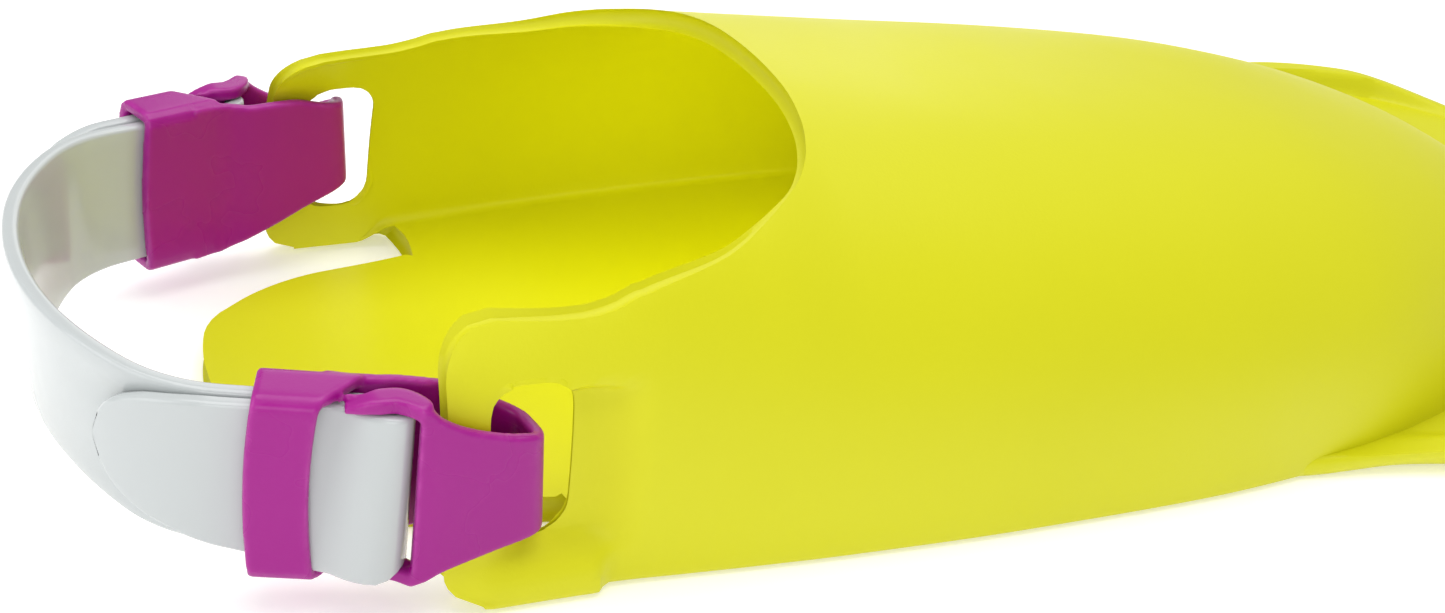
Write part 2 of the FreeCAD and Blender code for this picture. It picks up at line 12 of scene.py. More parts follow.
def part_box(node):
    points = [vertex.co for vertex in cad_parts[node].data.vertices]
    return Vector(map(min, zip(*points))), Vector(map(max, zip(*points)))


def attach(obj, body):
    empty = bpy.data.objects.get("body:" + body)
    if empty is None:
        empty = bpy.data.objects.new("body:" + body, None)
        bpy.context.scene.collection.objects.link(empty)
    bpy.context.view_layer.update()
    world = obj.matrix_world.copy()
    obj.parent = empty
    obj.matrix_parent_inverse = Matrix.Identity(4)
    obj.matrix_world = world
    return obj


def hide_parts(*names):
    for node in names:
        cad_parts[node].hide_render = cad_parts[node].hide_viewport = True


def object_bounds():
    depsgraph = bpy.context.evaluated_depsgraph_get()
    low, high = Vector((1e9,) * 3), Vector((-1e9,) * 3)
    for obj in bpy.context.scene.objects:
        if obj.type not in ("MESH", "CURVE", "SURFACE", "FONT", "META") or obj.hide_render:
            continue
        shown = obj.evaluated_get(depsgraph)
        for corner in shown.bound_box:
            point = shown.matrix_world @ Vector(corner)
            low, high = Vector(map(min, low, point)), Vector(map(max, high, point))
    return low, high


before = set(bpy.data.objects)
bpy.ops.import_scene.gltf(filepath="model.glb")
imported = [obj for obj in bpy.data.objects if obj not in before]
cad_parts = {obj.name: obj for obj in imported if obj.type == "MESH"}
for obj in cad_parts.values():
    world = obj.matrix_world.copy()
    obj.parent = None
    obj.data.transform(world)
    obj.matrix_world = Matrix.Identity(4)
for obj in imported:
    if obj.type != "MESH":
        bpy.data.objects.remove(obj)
CAD_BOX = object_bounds()

bl_info = {
    "name": "Swim Fin Looks",
    "version": (1, 0, 0),
    "blender": (4, 5, 0),
    "location": "View3D > Sidebar > Swim Fin",
    "description": "Builds the rubber body, heel strap, buckles and studio of a swim fin",
    "category": "Object",
}

MM = 0.001
GRID_SHARP, MELTED_SHARP = 40.0, 50.0


# ---- number helpers
def flow(x, stops, values):
    """Smooth curve through the stops that never overshoots.

    Between two stops it is the cubic with the slopes at both, and each slope is the harmonic
    mean of the two chords beside it, or nothing where they turn round.
    """
    stops = np.asarray(stops, float)
    values = np.asarray(values, float)
    gap = np.diff(stops)
    chord = np.diff(values) / gap
    product = chord[:-1] * chord[1:]
    total = np.where(product > 0, chord[:-1] + chord[1:], 1.0)
    slope = np.concatenate([chord[:1], np.where(product > 0, 2 * product / total, 0.0), chord[-1:]])
    x = np.clip(x, stops[0], stops[-1])
    left = np.clip(np.searchsorted(stops, x, side="right") - 1, 0, len(gap) - 1)
    t = (x - stops[left]) / gap[left]
    rise = t * t * (3 - 2 * t)
    ends = values[left] * (1 - rise) + values[left + 1] * rise
    bends = t * (1 - t) ** 2 * slope[left] - t * t * (1 - t) * slope[left + 1]
    return ends + gap[left] * bends


def ramp(x, low, high):
    """0 below low, 1 above high and a smooth step between them."""
    t = np.clip((x - low) / (high - low), 0, 1)
    return t * t * (3 - 2 * t)


def plateau(x, rise, full, fall, end):
    """1 between full and fall, with smooth steps up from rise to full and down from fall to end."""
    return ramp(x, rise, full) * (1 - ramp(x, fall, end))


def chain(*counts_and_stops):
    """Evenly spaced numbers from stop to stop: chain(a, (n, b), (m, c)) has n cells to b, m to c."""
    values = [np.array([counts_and_stops[0]], float)]
    for cells, stop in counts_and_stops[1:]:
        values.append(np.linspace(values[-1][-1], stop, cells + 1)[1:])
    return np.concatenate(values)


def along_curve(points, count):
    """Points spread evenly along a smooth curve through a few points, by length of chord."""
    points = np.asarray(points, float)
    length = np.concatenate([[0], np.cumsum(np.linalg.norm(np.diff(points, axis=0), axis=1))])
    fine = np.linspace(0, length[-1], 40 * len(points))
    dense = np.stack([flow(fine, length, column) for column in points.T], -1)
    travelled = np.concatenate([[0], np.cumsum(np.linalg.norm(np.diff(dense, axis=0), axis=1))])
    even = np.linspace(0, travelled[-1], count)
    return np.stack([np.interp(even, travelled, column) for column in dense.T], -1)


# ---- mesh helpers
def as_piece(name, mesh, sharp_angle):
    """An object at the origin for a mesh, smooth but for the edges that turn by the angle."""
    mesh.polygons.foreach_set("use_smooth", [True] * len(mesh.polygons))
    mesh.set_sharp_from_angle(angle=math.radians(sharp_angle))
    piece = bpy.data.objects.new(name, mesh)
    bpy.context.scene.collection.objects.link(piece)
    return piece


def new_piece(name, points, faces):
    """An object at the origin from points in millimetres and lists of faces."""
    used = np.unique(np.concatenate([part.ravel() for part in faces]))
    place = np.full(len(points), -1)
    place[used] = np.arange(len(used))
    mesh = bpy.data.meshes.new(name)
    polygons = [row for part in faces for row in place[part].tolist()]
    mesh.from_pydata((points[used] * MM).tolist(), [], polygons)
    mesh.validate()
    return as_piece(name, mesh, GRID_SHARP)


def finished(piece, name):
    """The piece with its modifiers worked into a mesh of its own."""
    bpy.context.view_layer.update()
    shaped = piece.evaluated_get(bpy.context.evaluated_depsgraph_get())
    mesh = bpy.data.meshes.new_from_object(shaped)
    bpy.data.objects.remove(piece)
    mesh.name = name
    return as_piece(name, mesh, MELTED_SHARP)


def vectors(collection, name):
    """One vector of each item in a mesh's collection, as rows."""
    values = np.empty(len(collection) * 3)
    collection.foreach_get(name, values)
    return values.reshape(-1, 3)


def mark_edges(piece, reach):
    """Stores how strongly the surface bends outwards at each vertex, from 0 to 1, as "edge".

    For each edge the turn of the normals along it is divided by its length; each vertex takes
    the mean over its edges, times the reach in metres.
    """
    mesh = piece.data
    points = vectors(mesh.vertices, "co")
    normals = vectors(mesh.vertex_normals, "vector")
    ends = np.empty(len(mesh.edges) * 2, int)
    mesh.edges.foreach_get("vertices", ends)
    first, second = ends.reshape(-1, 2).T
    step = points[second] - points[first]
    squared = np.maximum((step ** 2).sum(1), 1e-12)
    turn = ((normals[second] - normals[first]) * step).sum(1) / squared
    total = np.zeros(len(points))
    count = np.zeros(len(points))
    for side in (first, second):
        np.add.at(total, side, turn)
        np.add.at(count, side, 1)
    bend = np.clip(total / np.maximum(count, 1) * reach, 0, 1)
    attribute = mesh.attributes.new("edge", "FLOAT", "POINT")
    attribute.data.foreach_set("value", bend.astype(np.float32))


def grid_faces(index, cells=None):
    """The quads of a grid of vertex numbers, or of its chosen cells."""
    quads = np.stack([index[:-1, :-1], index[1:, :-1], index[1:, 1:], index[:-1, 1:]], -1)
    return quads.reshape(-1, 4) if cells is None else quads[cells]


def thicken(outer, inner, cells, index, bulge, rings=6):
    """Points and faces of the closed wall between two sheets that share one grid.

    Where the sheets end, the rim is half an ellipse: the middle of the wall, plus cos(a) times
    half the step to the outer sheet, plus sin(a) times the bulge along the direction that leads
    off the sheet, for a from 0 to 180 degrees.
    """
    size = outer.shape[0] * outer.shape[1]
    outer = outer.reshape(-1, 3)
    inner = inner.reshape(-1, 3)
    quads = grid_faces(index, cells)
    edges = np.concatenate([quads[:, [k, (k + 1) % 4]] for k in range(4)])
    edges = edges[edges[:, 0] != edges[:, 1]]
    rim = edges[~np.isin(edges[:, 0] * size + edges[:, 1], edges[:, 1] * size + edges[:, 0])]
    through = outer - inner
    off = np.zeros_like(outer)
    step = outer[rim[:, 1]] - outer[rim[:, 0]]
    for side in (0, 1):
        np.add.at(off, rim[:, side], np.cross(step, through[rim[:, side]]))
    members = np.unique(rim)
    off = off[members]
    off /= np.maximum(np.linalg.norm(off, axis=1, keepdims=True), 1e-9)
    half = through[members] / 2
    middle = outer[members] - half
    angles = np.pi * np.arange(1, rings)[:, None, None] / rings
    rounds = middle + np.cos(angles) * half + np.sin(angles) * bulge * off
    place = np.zeros(size, int)
    place[members] = np.arange(len(members))
    rows = [rim] + [2 * size + ring * len(members) + place[rim] for ring in range(rings - 1)]
    rows.append(rim + size)
    strips = [np.stack([low[:, 1], low[:, 0], high[:, 0], high[:, 1]], -1)
              for low, high in zip(rows[:-1], rows[1:])]
    points = np.concatenate([outer, inner, rounds.reshape(-1, 3)])
    return facing_out(points, [quads, quads[:, ::-1] + size] + strips)


def skin(rings, closed=False):
    """Points and faces of the surface over rings of points, closed into a loop or capped.

    rings has one row for each station along the path, and its points run round the section.
    """
    stations, around = rings.shape[:2]
    index = np.arange(stations * around).reshape(stations, around)
    index = np.concatenate([index, index[:, :1]], 1)
    points = rings.reshape(-1, 3)
    if closed:
        return facing_out(points, [grid_faces(np.concatenate([index, index[:1]]))])
    caps = points.reshape(stations, around, 3)[[0, -1]].mean(1)
    first, last = len(points), len(points) + 1
    start = np.stack([np.full(around, first), index[0, :-1], index[0, 1:]], -1)
    end = np.stack([np.full(around, last), index[-1, 1:], index[-1, :-1]], -1)
    return facing_out(np.concatenate([points, caps]), [grid_faces(index), start, end])


def joined(shells):
    """Several closed shells as one list of points and one of faces."""
    points, faces, offset = [], [], 0
    for shell_points, shell_faces in shells:
        points.append(shell_points)
        faces += [part + offset for part in shell_faces]
        offset += len(shell_points)
    return np.concatenate(points), faces


def facing_out(points, faces):
    """The points and faces of a shell, turned round where they enclose a negative volume."""
    volume = 0.0
    for part in faces:
        corners = points[part]
        for k in range(1, part.shape[1] - 1):
            volume += np.einsum("ij,ij->", corners[:, 0], np.cross(corners[:, k], corners[:, k + 1]))
    return (points, faces) if volume > 0 else (points, [part[:, ::-1] for part in faces])


def mirrored(shell):
    """The shell on the other side of the centre plane, still facing outwards."""
    points, faces = shell
    return points * (1, -1, 1), [part[:, ::-1] for part in faces]


# ---- settings
class FinSizes(bpy.types.PropertyGroup):
    """Sizes and colour of the rubber body."""
    wall: bpy.props.FloatProperty(
        name="Wall", description="Thickness of the foot pocket's wall",
        default=3.0 * MM, unit="LENGTH")
    sole: bpy.props.FloatProperty(
        name="Sole", description="Thickness of the sole and the heel plate",
        default=4.0 * MM, unit="LENGTH")
    rim: bpy.props.FloatProperty(
        name="Rim", description="How far the rounded rims stand out from the wall's edge",
        default=1.1 * MM, unit="LENGTH")
    blade: bpy.props.FloatProperty(
        name="Blade", description="Thickness of the blade between its ribs",
        default=3.0 * MM, unit="LENGTH")
    colour: bpy.props.FloatVectorProperty(
        name="Colour", description="Colour of the rubber",
        default=(0.66, 0.65, 0.002), size=3, min=0, max=1, subtype="COLOR")


class StrapSizes(bpy.types.PropertyGroup):
    """Sizes and colour of the heel strap."""
    thickness: bpy.props.FloatProperty(
        name="Thickness", description="Thickness of one layer of the strap",
        default=2.0 * MM, unit="LENGTH")
    width: bpy.props.FloatProperty(
        name="Width", description="Width of the strap",
        default=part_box("heel_strap")[1].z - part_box("heel_strap")[0].z, unit="LENGTH")
    lean: bpy.props.FloatProperty(
        name="Lean", description="How far the upper edge leans back at the heel",
        default=2.2 * MM, unit="LENGTH")
    colour: bpy.props.FloatVectorProperty(
        name="Colour", description="Colour of the strap",
        default=(0.51, 0.54, 0.54), size=3, min=0, max=1, subtype="COLOR")


class BuckleSizes(bpy.types.PropertyGroup):
    """Sizes and colour of the hook buckles."""
    plate: bpy.props.FloatProperty(
        name="Plate", description="Thickness of the buckle's plates",
        default=1.6 * MM, unit="LENGTH")
    bow: bpy.props.FloatProperty(
        name="Bow", description="How far the sleeve's edges bow backwards at mid height",
        default=1.0 * MM, unit="LENGTH")
    colour: bpy.props.FloatVectorProperty(
        name="Colour", description="Colour of the buckles",
        default=(0.345, 0.004, 0.235), size=3, min=0, max=1, subtype="COLOR")


class StudioSettings(bpy.types.PropertyGroup):
    """Floor, light and camera."""
    lens: bpy.props.FloatProperty(
        name="Lens", description="Focal length on a 36 mm sensor",
        default=44.85 * MM, unit="CAMERA")
    light: bpy.props.FloatProperty(
        name="Light", description="Strength of the white surroundings",
        default=0.45, min=0)


# ---- rubber body
# Sections of the foot pocket: place along X, half-width at the sole, crown height and the power
# of the superellipse (2 is an ellipse, more is squarer).
POCKET = np.array([
    (-5.0, 45.0, 41.0, 3.5), (5.0, 45.5, 44.5, 3.4), (14.0, 45.8, 48.0, 3.3),
    (22.0, 46.3, 50.0, 3.2), (30.0, 47.2, 51.0, 2.9), (40.0, 48.3, 51.0, 2.65),
    (54.0, 49.6, 49.4, 2.5), (80.0, 51.2, 46.8, 2.5), (110.0, 51.9, 44.2, 2.5),
    (140.0, 50.2, 41.0, 2.5), (165.0, 45.2, 36.6, 2.5), (185.0, 38.0, 31.0, 2.5),
    (200.0, 30.0, 24.5, 2.45), (210.0, 21.0, 17.0, 2.4), (216.0, 12.0, 9.8, 2.4),
    (218.5, 5.0, 4.4, 2.4), (219.0, 0.8, 1.6, 2.4)]).T
EAR_REAR, EAR_TOP = -0.7, 35.3
EAR_TOP_CORNER, EAR_LOW_CORNER, EAR_LOW_INSIDE = 6.5, 4.6, 0.9
SLOT_REAR, SLOT_FRONT, SLOT_LOW, SLOT_HIGH, SLOT_CORNER = 4.2, 15.1, 7.9, 29.0, 4.3
BOSS_DEPTH, BOSS_X, BOSS_Z = 1.7, (-1.0, 5.0, 18.4, 20.4), (2.5, 7.0)
HOLLOW_DEPTH, HOLLOW_X, HOLLOW_Z = 2.6, (3.0, 11.0, 17.5, 24.0), (5.0, 8.4, 26.4, 28.2)
NOTCH_END, WEB_START = 19.5, 12.0
RIM_START, RIM_FOOT, RIM_SETTLED, NOSE_START, TOE = 24.0, 66.0, 110.0, 200.0, 219.0
TOE_WALL, TOE_WALL_START = 6.0, 80.0
INSIDE_ARCH, SOLE_SPREAD = (21.0, 45.0), (NOTCH_END, 60.0)
FILLET, INNER_FILLET = 1.2, 1.5
LEAST = 0.2
EAR_CORNER_STEP, NOTCH_BOW = 1.2, 0.7
# The foot opening's rim in plan, from the ear's end round to the centre plane and past it.
RIM = [(24, 39.6), (28.5, 38.7), (35.3, 36.9), (40.8, 34.2), (45.2, 31.2), (48.6, 28.2),
       (51.6, 23.6), (53.6, 17.8), (54.9, 9.5), (55.3, 0.0), (54.9, -9.5)]
# The heel plate's side, and its rear edge from the centre plane out to the side's first point.
PLATE_SIDE = [(-12.2, 20.8), (-6.4, 25.2), (-1.0, 27.9), (3.5, 29.3), (8.0, 30.1), (13.2, 31.0),
              (19.5, 32.4)]
PLATE_REAR = [(0.0, -17.2), (8.0, -16.9), (14.8, -15.7), (18.4, -14.2), (20.8, -12.2)]
HEEL_REAR = PLATE_REAR[0][1]
WALL_ROWS = chain(FILLET, (6, SLOT_LOW), (24, SLOT_HIGH), (9, EAR_TOP))
WALL_SHARE = (WALL_ROWS - FILLET) / (EAR_TOP - FILLET)
SOLE_ROWS, PLATE_ROWS, CORNER_ROWS = 18, 13, 3
WALL_ROW = SOLE_ROWS + CORNER_ROWS
FLIP = np.array([1, -1, 1])


def pocket_section(x):
    """Half-width, crown height and power of the foot pocket's section at places along X."""
    return [flow(x, POCKET[0], row) for row in POCKET[1:]]


def arch(half, crown, power, angle):
    """Width and height on a superellipse arch: cosine and sine, each to the power 2/power."""
    return (half * np.maximum(np.cos(angle), 0) ** (2 / power),
            crown * np.maximum(np.sin(angle), 0) ** (2 / power))


def height_angle(height, crown, power):
    """The arch's angle at a height."""
    return np.arcsin(np.clip(height / crown, 0, 1) ** (power / 2))


def ear_relief(x, z):
    """How far the ear's outer face stands out: a boss below the slot and a hollow round it."""
    hollow = plateau(x, *HOLLOW_X) * plateau(z, *HOLLOW_Z)
    boss = plateau(x, *BOSS_X) * (1 - ramp(z, *BOSS_Z))
    return BOSS_DEPTH * boss - HOLLOW_DEPTH * hollow


def pocket_columns():
    """Places along X of the grid's columns at the sole and at the rim, the rim's plan and its start."""
    rear = chain(HEEL_REAR, (11, EAR_REAR), (5, SLOT_REAR), (12, SLOT_FRONT), (4, NOTCH_END),
                 (4, RIM_START))
    rim = along_curve(RIM, 61)
    rim = rim[:np.argmin(np.abs(rim[:, 1])) + 1]
    rim[-1] = RIM[-2]
    foot = RIM_START + (RIM_FOOT - RIM_START) * np.linspace(0, 1, len(rim))[1:]
    dome = chain(RIM_FOOT, (46, NOSE_START))[1:]
    lean = (RIM_FOOT - RIM[-2][0]) * (1 - ramp(dome, RIM_FOOT, RIM_SETTLED))
    nose = NOSE_START + (TOE - NOSE_START) * np.sin(np.linspace(0, np.pi / 2, 13))[1:]
    low = np.concatenate([rear, foot, dome, nose])
    return low, np.concatenate([rear, rim[1:, 0], dome - lean, nose]), rim, len(rear) - 1


def top_angles(low_x, half, crown, power, rim, start, front):
    """Height and arch angle of each column's top: an ear's top, the rim laid on the arch or the crown."""
    rim_y = np.zeros(len(low_x))
    rim_y[start:front + 1] = rim[:, 1]
    angle = np.arccos(np.clip(rim_y / half, 0, 1) ** (power / 2))
    _, rim_z = arch(half, crown, power, angle)
    ear_z = flow(low_x, [-30, 8, 14, NOTCH_END, RIM_START, 300],
                 [EAR_TOP, EAR_TOP, EAR_TOP + 0.15, EAR_TOP + 0.8, rim_z[start], rim_z[start]])
    column = np.arange(len(low_x))
    top_z = np.where(column <= start, ear_z, rim_z)
    return top_z, np.where(column >= front, np.pi / 2, height_angle(top_z, crown, power))


def rear_corners():
    """How far each row of the ear starts in front of its rear, for a round corner at both ends.

    It is the radius less the root of its square less the square of the row's depth in the corner.
    """
    radius = np.array([[EAR_TOP_CORNER], [EAR_LOW_CORNER]])
    dip = np.maximum(radius - np.stack([EAR_TOP - WALL_ROWS, WALL_ROWS - FILLET]), 0)
    return (radius - np.sqrt(np.maximum(radius ** 2 - dip ** 2, 0))).sum(0)


def wall_sheets(sizes, low_x, near_rear):
    """Outer and inner sheet of the wall, from the sole's corner up to the rim or the crown.

    Rows keep their height near the ears and spread by angle over the dome. Inside is the same
    wall less its thickness near the ears, and a smaller arch over the foot.
    """
    wall, sole = sizes.wall / MM, sizes.sole / MM
    _, top_x, rim, start = pocket_columns()
    front = start + len(rim) - 1
    x = low_x[:, None] + (top_x - low_x)[:, None] * WALL_SHARE ** 1.5 + rear_corners() * near_rear
    half, crown, power = pocket_section(x)
    top_z, top_angle = top_angles(low_x, half[:, -1], crown[:, -1], power[:, -1], rim, start, front)
    dome = ramp(low_x, RIM_START, RIM_FOOT)[:, None]
    ear_angle = height_angle(FILLET + (top_z[:, None] - FILLET) * WALL_SHARE, crown, power)
    base = height_angle(FILLET, crown, power)
    even_angle = base + (top_angle[:, None] - base) * np.linspace(0, 1, len(WALL_SHARE))
    angle = ear_angle * (1 - dome) + even_angle * dome
    angle[:, -1] = top_angle
    y, z = arch(half, crown, power, angle)
    outer = np.stack([x, y + ear_relief(x, z), z], -1)
    inner_y, inner_z = arch(np.maximum(half - wall, LEAST), np.maximum(crown - wall - sole, LEAST),
                            power, angle)
    web = ramp(low_x, WEB_START, NOTCH_END)[:, None]
    rise = (sole + INNER_FILLET - FILLET) * web * (1 - WALL_SHARE) ** 3
    blend = ramp(low_x, *INSIDE_ARCH)[:, None]
    inner_y = (y - wall) * (1 - blend) + inner_y * blend
    inner_z = (z + rise) * (1 - blend) + (inner_z + sole) * blend
    inner = np.stack([x - toe_setback(low_x), np.maximum(inner_y, 0), inner_z], -1)
    inner[front:, -1, 1] = 0
    return outer, inner, front


def toe_setback(low_x):
    """How far the inside lies behind the outside, growing to the toe's wall."""
    return TOE_WALL * ramp(low_x, TOE_WALL_START, TOE)[:, None]


def corner_sheets(sizes, low_x, near_rear, outer_wall, inner_wall):
    """Outer and inner sheet of the small corner between the sole and the wall.

    Both are quarter rounds, but on the ears the inner one runs straight down to the lower
    edge, and a web joins the two towards the notch's end.
    """
    sole = sizes.sole / MM
    turn = np.linspace(0, np.pi / 2, CORNER_ROWS + 1)[:-1]
    down = np.arange(CORNER_ROWS) / CORNER_ROWS
    x, y = outer_wall[:, :1, 0], outer_wall[:, :1, 1]
    outer = np.stack(np.broadcast_arrays(
        x + EAR_CORNER_STEP * near_rear * (1 - down), y - FILLET * (1 - np.sin(turn)),
        FILLET * (1 - np.cos(turn))), -1)
    edge = np.maximum(inner_wall[:, :1, 1], LEAST)
    height = np.maximum(inner_wall[:, :1, 2] - sole, 0.05)
    inner = np.stack(np.broadcast_arrays(
        x - toe_setback(low_x), edge - np.minimum(INNER_FILLET, edge / 2) * (1 - np.sin(turn)),
        sole + height * (1 - np.cos(turn))), -1)
    web = ramp(low_x, WEB_START, NOTCH_END)[:, None]
    ear_low = EAR_LOW_INSIDE + (inner_wall[:, :1, 2] - EAR_LOW_INSIDE) * down
    inner[..., 1] = inner[..., 1] * web + edge * (1 - web)
    inner[..., 2] = inner[..., 2] * web + ear_low * (1 - web)
    return outer, inner


def sole_sheets(sizes, low_x, outer_corner, inner_corner):
    """Outer and inner sheet of the sole: the heel plate's rows, then the rows beside the notch."""
    at_x = low_x[:, None]
    plate_share = np.linspace(0, 1, PLATE_ROWS + 1)
    fade = np.clip((NOTCH_END - at_x) / (NOTCH_END - HEEL_REAR), 0, 1)
    rear_x = flow(plate_share * PLATE_REAR[-1][0], *np.array(PLATE_REAR).T) - HEEL_REAR
    plate_x = np.where(at_x < NOTCH_END, at_x + rear_x * fade, at_x)
    plate_y = flow(plate_x[:, -1], *np.array(PLATE_SIDE).T)
    edge = outer_corner[:, 0, 1]
    line_y = np.where(low_x < NOTCH_END, plate_y, PLATE_SIDE[-1][1])
    spread = ramp(low_x, *SOLE_SPREAD)
    line_y = (line_y * (1 - spread) + edge * PLATE_ROWS / SOLE_ROWS * spread)[:, None]
    rest = np.linspace(0, 1, SOLE_ROWS - PLATE_ROWS + 1)[1:-1]
    edge = edge[:, None]
    y = np.concatenate([line_y * plate_share, line_y + (edge - line_y) * rest], 1)
    x = np.concatenate([plate_x, np.repeat(at_x, len(rest), 1)], 1)
    notch = int(np.argmin(np.abs(low_x - NOTCH_END)))
    x[notch, PLATE_ROWS + 1:] += NOTCH_BOW * np.sin(np.pi * rest)
    outer = np.stack([x, y, np.zeros_like(x)], -1)
    edge = np.maximum(edge, 0.1)
    squeeze = 1 + (inner_corner[:, :1, 1] / edge - 1) * (y / edge) ** 4
    squeeze = np.where(at_x < NOTCH_END, 1.0, squeeze)
    return outer, np.stack([x - toe_setback(low_x), y * squeeze, np.full_like(x, sizes.sole / MM)], -1)


def both_sides(outer, inner):
    """The two sheets of a half grid together with their mirror image, and their point numbers."""
    outer = np.concatenate([outer[:, :0:-1] * FLIP, outer], 1)
    inner = np.concatenate([inner[:, :0:-1] * FLIP, inner], 1)
    return outer, inner, np.arange(outer.shape[0] * outer.shape[1]).reshape(outer.shape[:2])


def pocket_shell(sizes):
    """The foot pocket, its ears, the sole and the heel plate as one closed wall.

    The grid's columns run round each section: from the centre of the sole out to its edge,
    round a small corner and up the superellipse wall to the rim or the crown. Cells are left
    out at the notches beside the heel plate, at the slots and behind the ears.
    """
    low_x = pocket_columns()[0]
    near_rear = np.clip((NOTCH_END - low_x) / (NOTCH_END - EAR_REAR), 0, 1)[:, None]
    outer_wall, inner_wall, front = wall_sheets(sizes, low_x, near_rear)
    outer_corner, inner_corner = corner_sheets(sizes, low_x, near_rear, outer_wall, inner_wall)
    outer_sole, inner_sole = sole_sheets(sizes, low_x, outer_corner, inner_corner)
    outer = np.concatenate([outer_sole, outer_corner, outer_wall], 1)
    inner = np.concatenate([inner_sole, inner_corner, inner_wall], 1)
    middle_x = ((low_x[:-1] + low_x[1:]) / 2)[:, None]
    row = np.arange(outer.shape[1] - 1)[None, :]
    cells = (middle_x > NOTCH_END) | (row < PLATE_ROWS)
    cells |= (middle_x > EAR_REAR) & (row >= SOLE_ROWS)
    height = np.concatenate([np.zeros(WALL_ROW), (WALL_ROWS[:-1] + WALL_ROWS[1:]) / 2])[None, :]
    in_slot = (middle_x > SLOT_REAR) & (middle_x < SLOT_FRONT) & (height > SLOT_LOW)
    gone = round_slot(in_slot & (height < SLOT_HIGH), outer, inner, low_x)
    cells &= ~gone
    # Both halves are one grid, sewn along the crown.
    outer, inner, index = both_sides(outer, inner)
    index[front:, 0] = index[front:, -1]
    cells = np.concatenate([cells[:, ::-1], cells], 1)
    return thicken(outer, inner, cells, index, sizes.rim / MM)


def round_slot(in_slot, outer, inner, low_x):
    """Rounds the slot's corners and gives the cells that go.

    The signed distance to a rounded rectangle decides which cells go, and the points on the
    edge of the cells that stay move along its gradient onto the corner arcs.
    """
    centre = np.array([SLOT_REAR + SLOT_FRONT, SLOT_LOW + SLOT_HIGH]) / 2
    reach = np.array([SLOT_FRONT - SLOT_REAR, SLOT_HIGH - SLOT_LOW]) / 2 - SLOT_CORNER
    at_x = np.broadcast_to(low_x[:, None], outer.shape[:2])
    at_z = np.broadcast_to(np.concatenate([np.full(WALL_ROW, -50.0), WALL_ROWS]), outer.shape[:2])
    away = np.stack([at_x, at_z], -1) - centre
    past = np.maximum(np.abs(away) - reach, 0)
    length = np.linalg.norm(past, axis=-1)
    distance = length - SLOT_CORNER
    middle = (distance[:-1, :-1] + distance[1:, :-1] + distance[1:, 1:] + distance[:-1, 1:]) / 4
    gone = in_slot & (middle < 0)
    touch = np.zeros(distance.shape, int)
    stay = np.zeros(distance.shape, int)
    for across in (slice(None, -1), slice(1, None)):
        for up in (slice(None, -1), slice(1, None)):
            touch[across, up] += gone
            stay[across, up] += ~gone
    on_edge = ((touch > 0) & (stay > 0))[..., None]
    shift = -distance[..., None] * past / np.maximum(length, 1e-9)[..., None] * np.sign(away)
    shift = np.where(on_edge, shift, 0)
    for sheet in (outer, inner):
        sheet[..., 0] += shift[..., 0]
        sheet[..., 2] += shift[..., 1]
    return gone


BLADE_SIDE = [(112, 46.5), (122, 48.8), (130, 50.2), (136, 51.6), (147, 54.0), (153, 55.5),
              (160, 57.6), (170, 61.5), (185, 67.2), (203, 73.0), (213, 74.9), (222, 75.4)]
BLADE_START, BLADE_FREE, BLADE_WIDE, BLADE_HALF, BLADE_LENGTH = 112.0, 150.0, 222.0, 75.4, 64.9
TIP_TURN = math.radians(45)
RAIL_HEIGHT, RIB_HEIGHT, RIB_LENGTH = 4.4, 3.6, 62.0
RIB_PLACES, RIB_START = (0.0, 24.0), 212.0
RAIL_ALONG, RAIL_INNER_EDGE, RIB_FLANK = (138.0, 196.0, 246.0, 276.0), (3.4, 6.6), (0.7, 2.6)
SIDE_LEAN, LEAN_ALONG, BLADE_EDGE = 3.4, (128.0, 150.0, 195.0, 235.0), 1.0
UNDER_LIFT, UNDER_EDGE, TIP_THINNING, THINNING_RUN = 0.4, (0.5, 3.0), 0.9, (200.0, 285.0)


